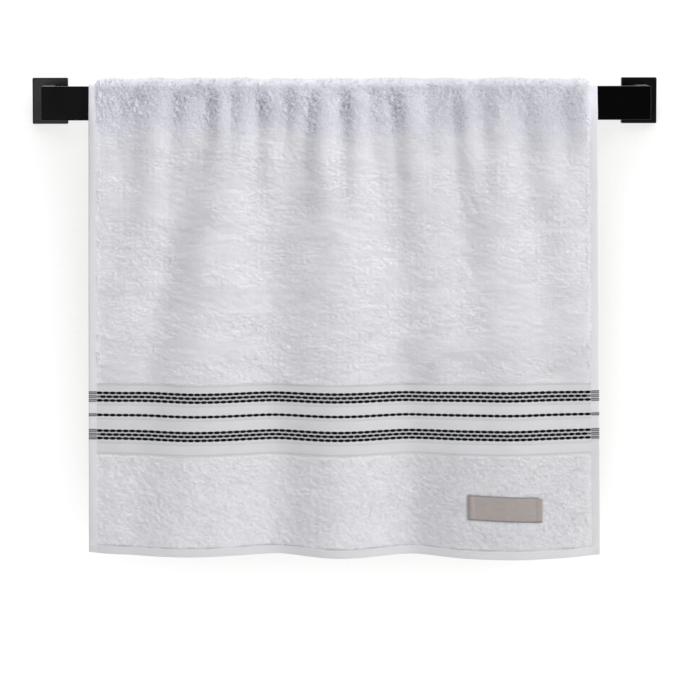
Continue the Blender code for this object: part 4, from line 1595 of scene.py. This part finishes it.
def soft_light(light, power):
    """A round area light, turned to the towel, that the camera doesn't see."""
    data = bpy.data.lights.new(light.name, "AREA")
    data.shape = "DISK"
    data.size = light.size
    data.energy = power
    data.color = light.tone
    lamp = bpy.data.objects.new(light.name, data)
    place = Vector((RAIL_MIDDLE + light.place[0], *light.place[1:]))
    lamp.location = place
    lamp.rotation_euler = (Vector(LIGHT_TARGET) - place).to_track_quat("-Z", "Y").to_euler()
    lamp.visible_camera = False
    bpy.context.scene.collection.objects.link(lamp)


class MakeStage(bpy.types.Operator):
    """Set the wall, the floor, the soft lights and the photograph's camera"""

    bl_idname = "towel.make_stage"
    bl_label = "Stage"

    def execute(self, context):
        settings = context.scene.towel_stage
        wall = one_sided("wall_plaster", settings.wall_tone, WALL_PAINT, settings.wall_glow, 0.9)
        floor = one_sided("pale_floor", FLOOR_TONE, 1.0, FLOOR_GLOW, 0.7)
        backdrop("wall", WALL_CORNERS, wall)
        backdrop("floor", FLOOR_CORNERS, floor)
        for light in LIGHTS:
            soft_light(light, getattr(settings, light.power) * light.share)
        world = bpy.data.worlds.new("studio")
        world.use_nodes = True
        sky = world.node_tree.nodes["Background"].inputs
        sky["Color"].default_value = colour(SKY_TONE)
        sky["Strength"].default_value = settings.sky
        context.scene.world = world
        context.scene.view_settings.view_transform = "Standard"
        lens = bpy.data.cameras.new("camera")
        lens.sensor_width = CAMERA_SENSOR
        lens.lens = CAMERA_LENS
        lens.clip_end = CAMERA_REACH
        camera = bpy.data.objects.new("camera", lens)
        camera.location = Vector(CAMERA_PLACE) + Vector((RAIL_MIDDLE, 0, 0))
        camera.rotation_euler = Euler((radians(90 - CAMERA_PITCH), 0, -radians(CAMERA_YAW)))
        context.scene.collection.objects.link(camera)
        context.scene.camera = camera
        return {"FINISHED"}


class TowelPanel(bpy.types.Panel):
    """Lists the towel's settings and the pieces to build"""

    bl_idname = "VIEW3D_PT_towel"
    bl_label = "Hand Towel"
    bl_space_type = "VIEW_3D"
    bl_region_type = "UI"
    bl_category = "Towel"

    def draw(self, context):
        for group in SETTINGS:
            settings = getattr(context.scene, group)
            for name in settings.bl_rna.properties.keys():
                if name not in {"rna_type", "name"}:
                    self.layout.prop(settings, name)
        for operator in OPERATORS:
            self.layout.operator(operator.bl_idname)


SETTINGS = {
    "towel": TowelSettings,
    "towel_label": LabelSettings,
    "towel_rail": RailSettings,
    "towel_stage": StageSettings,
}
OPERATORS = (
    MakeStage,
    FinishRail,
    MakeCloth,
    MakePile,
    MakeFluff,
    MakeEdgeLoops,
    MakeBorder,
    MakeStitches,
    MakeLabel,
)


def register():
    for made in (*SETTINGS.values(), *OPERATORS, TowelPanel):
        bpy.utils.register_class(made)
    for name, settings in SETTINGS.items():
        setattr(bpy.types.Scene, name, bpy.props.PointerProperty(type=settings))


def unregister():
    for name in SETTINGS:
        delattr(bpy.types.Scene, name)
    for made in reversed((*SETTINGS.values(), *OPERATORS, TowelPanel)):
        bpy.utils.unregister_class(made)


def declare_cloth():
    """Lists the pieces woven or sewn into the towel; the list is not used."""
    parts = [name for name, start, end in PILE_ZONES] + ["stray_loops", "edge_loops"]
    for kind in ("border_dashes", "hem_stitches"):
        parts += [f"{kind}_front", f"{kind}_back"]


def main():
    register()
    bpy.ops.towel.make_stage()
    bpy.ops.towel.finish_rail()
    bpy.ops.towel.make_cloth()
    bpy.ops.towel.make_pile()
    bpy.ops.towel.make_fluff()
    bpy.ops.towel.make_edge_loops()
    bpy.ops.towel.make_border()
    bpy.ops.towel.make_stitches()
    bpy.ops.towel.make_label()
    declare_cloth()
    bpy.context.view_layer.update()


if __name__ == "__main__":
    main()
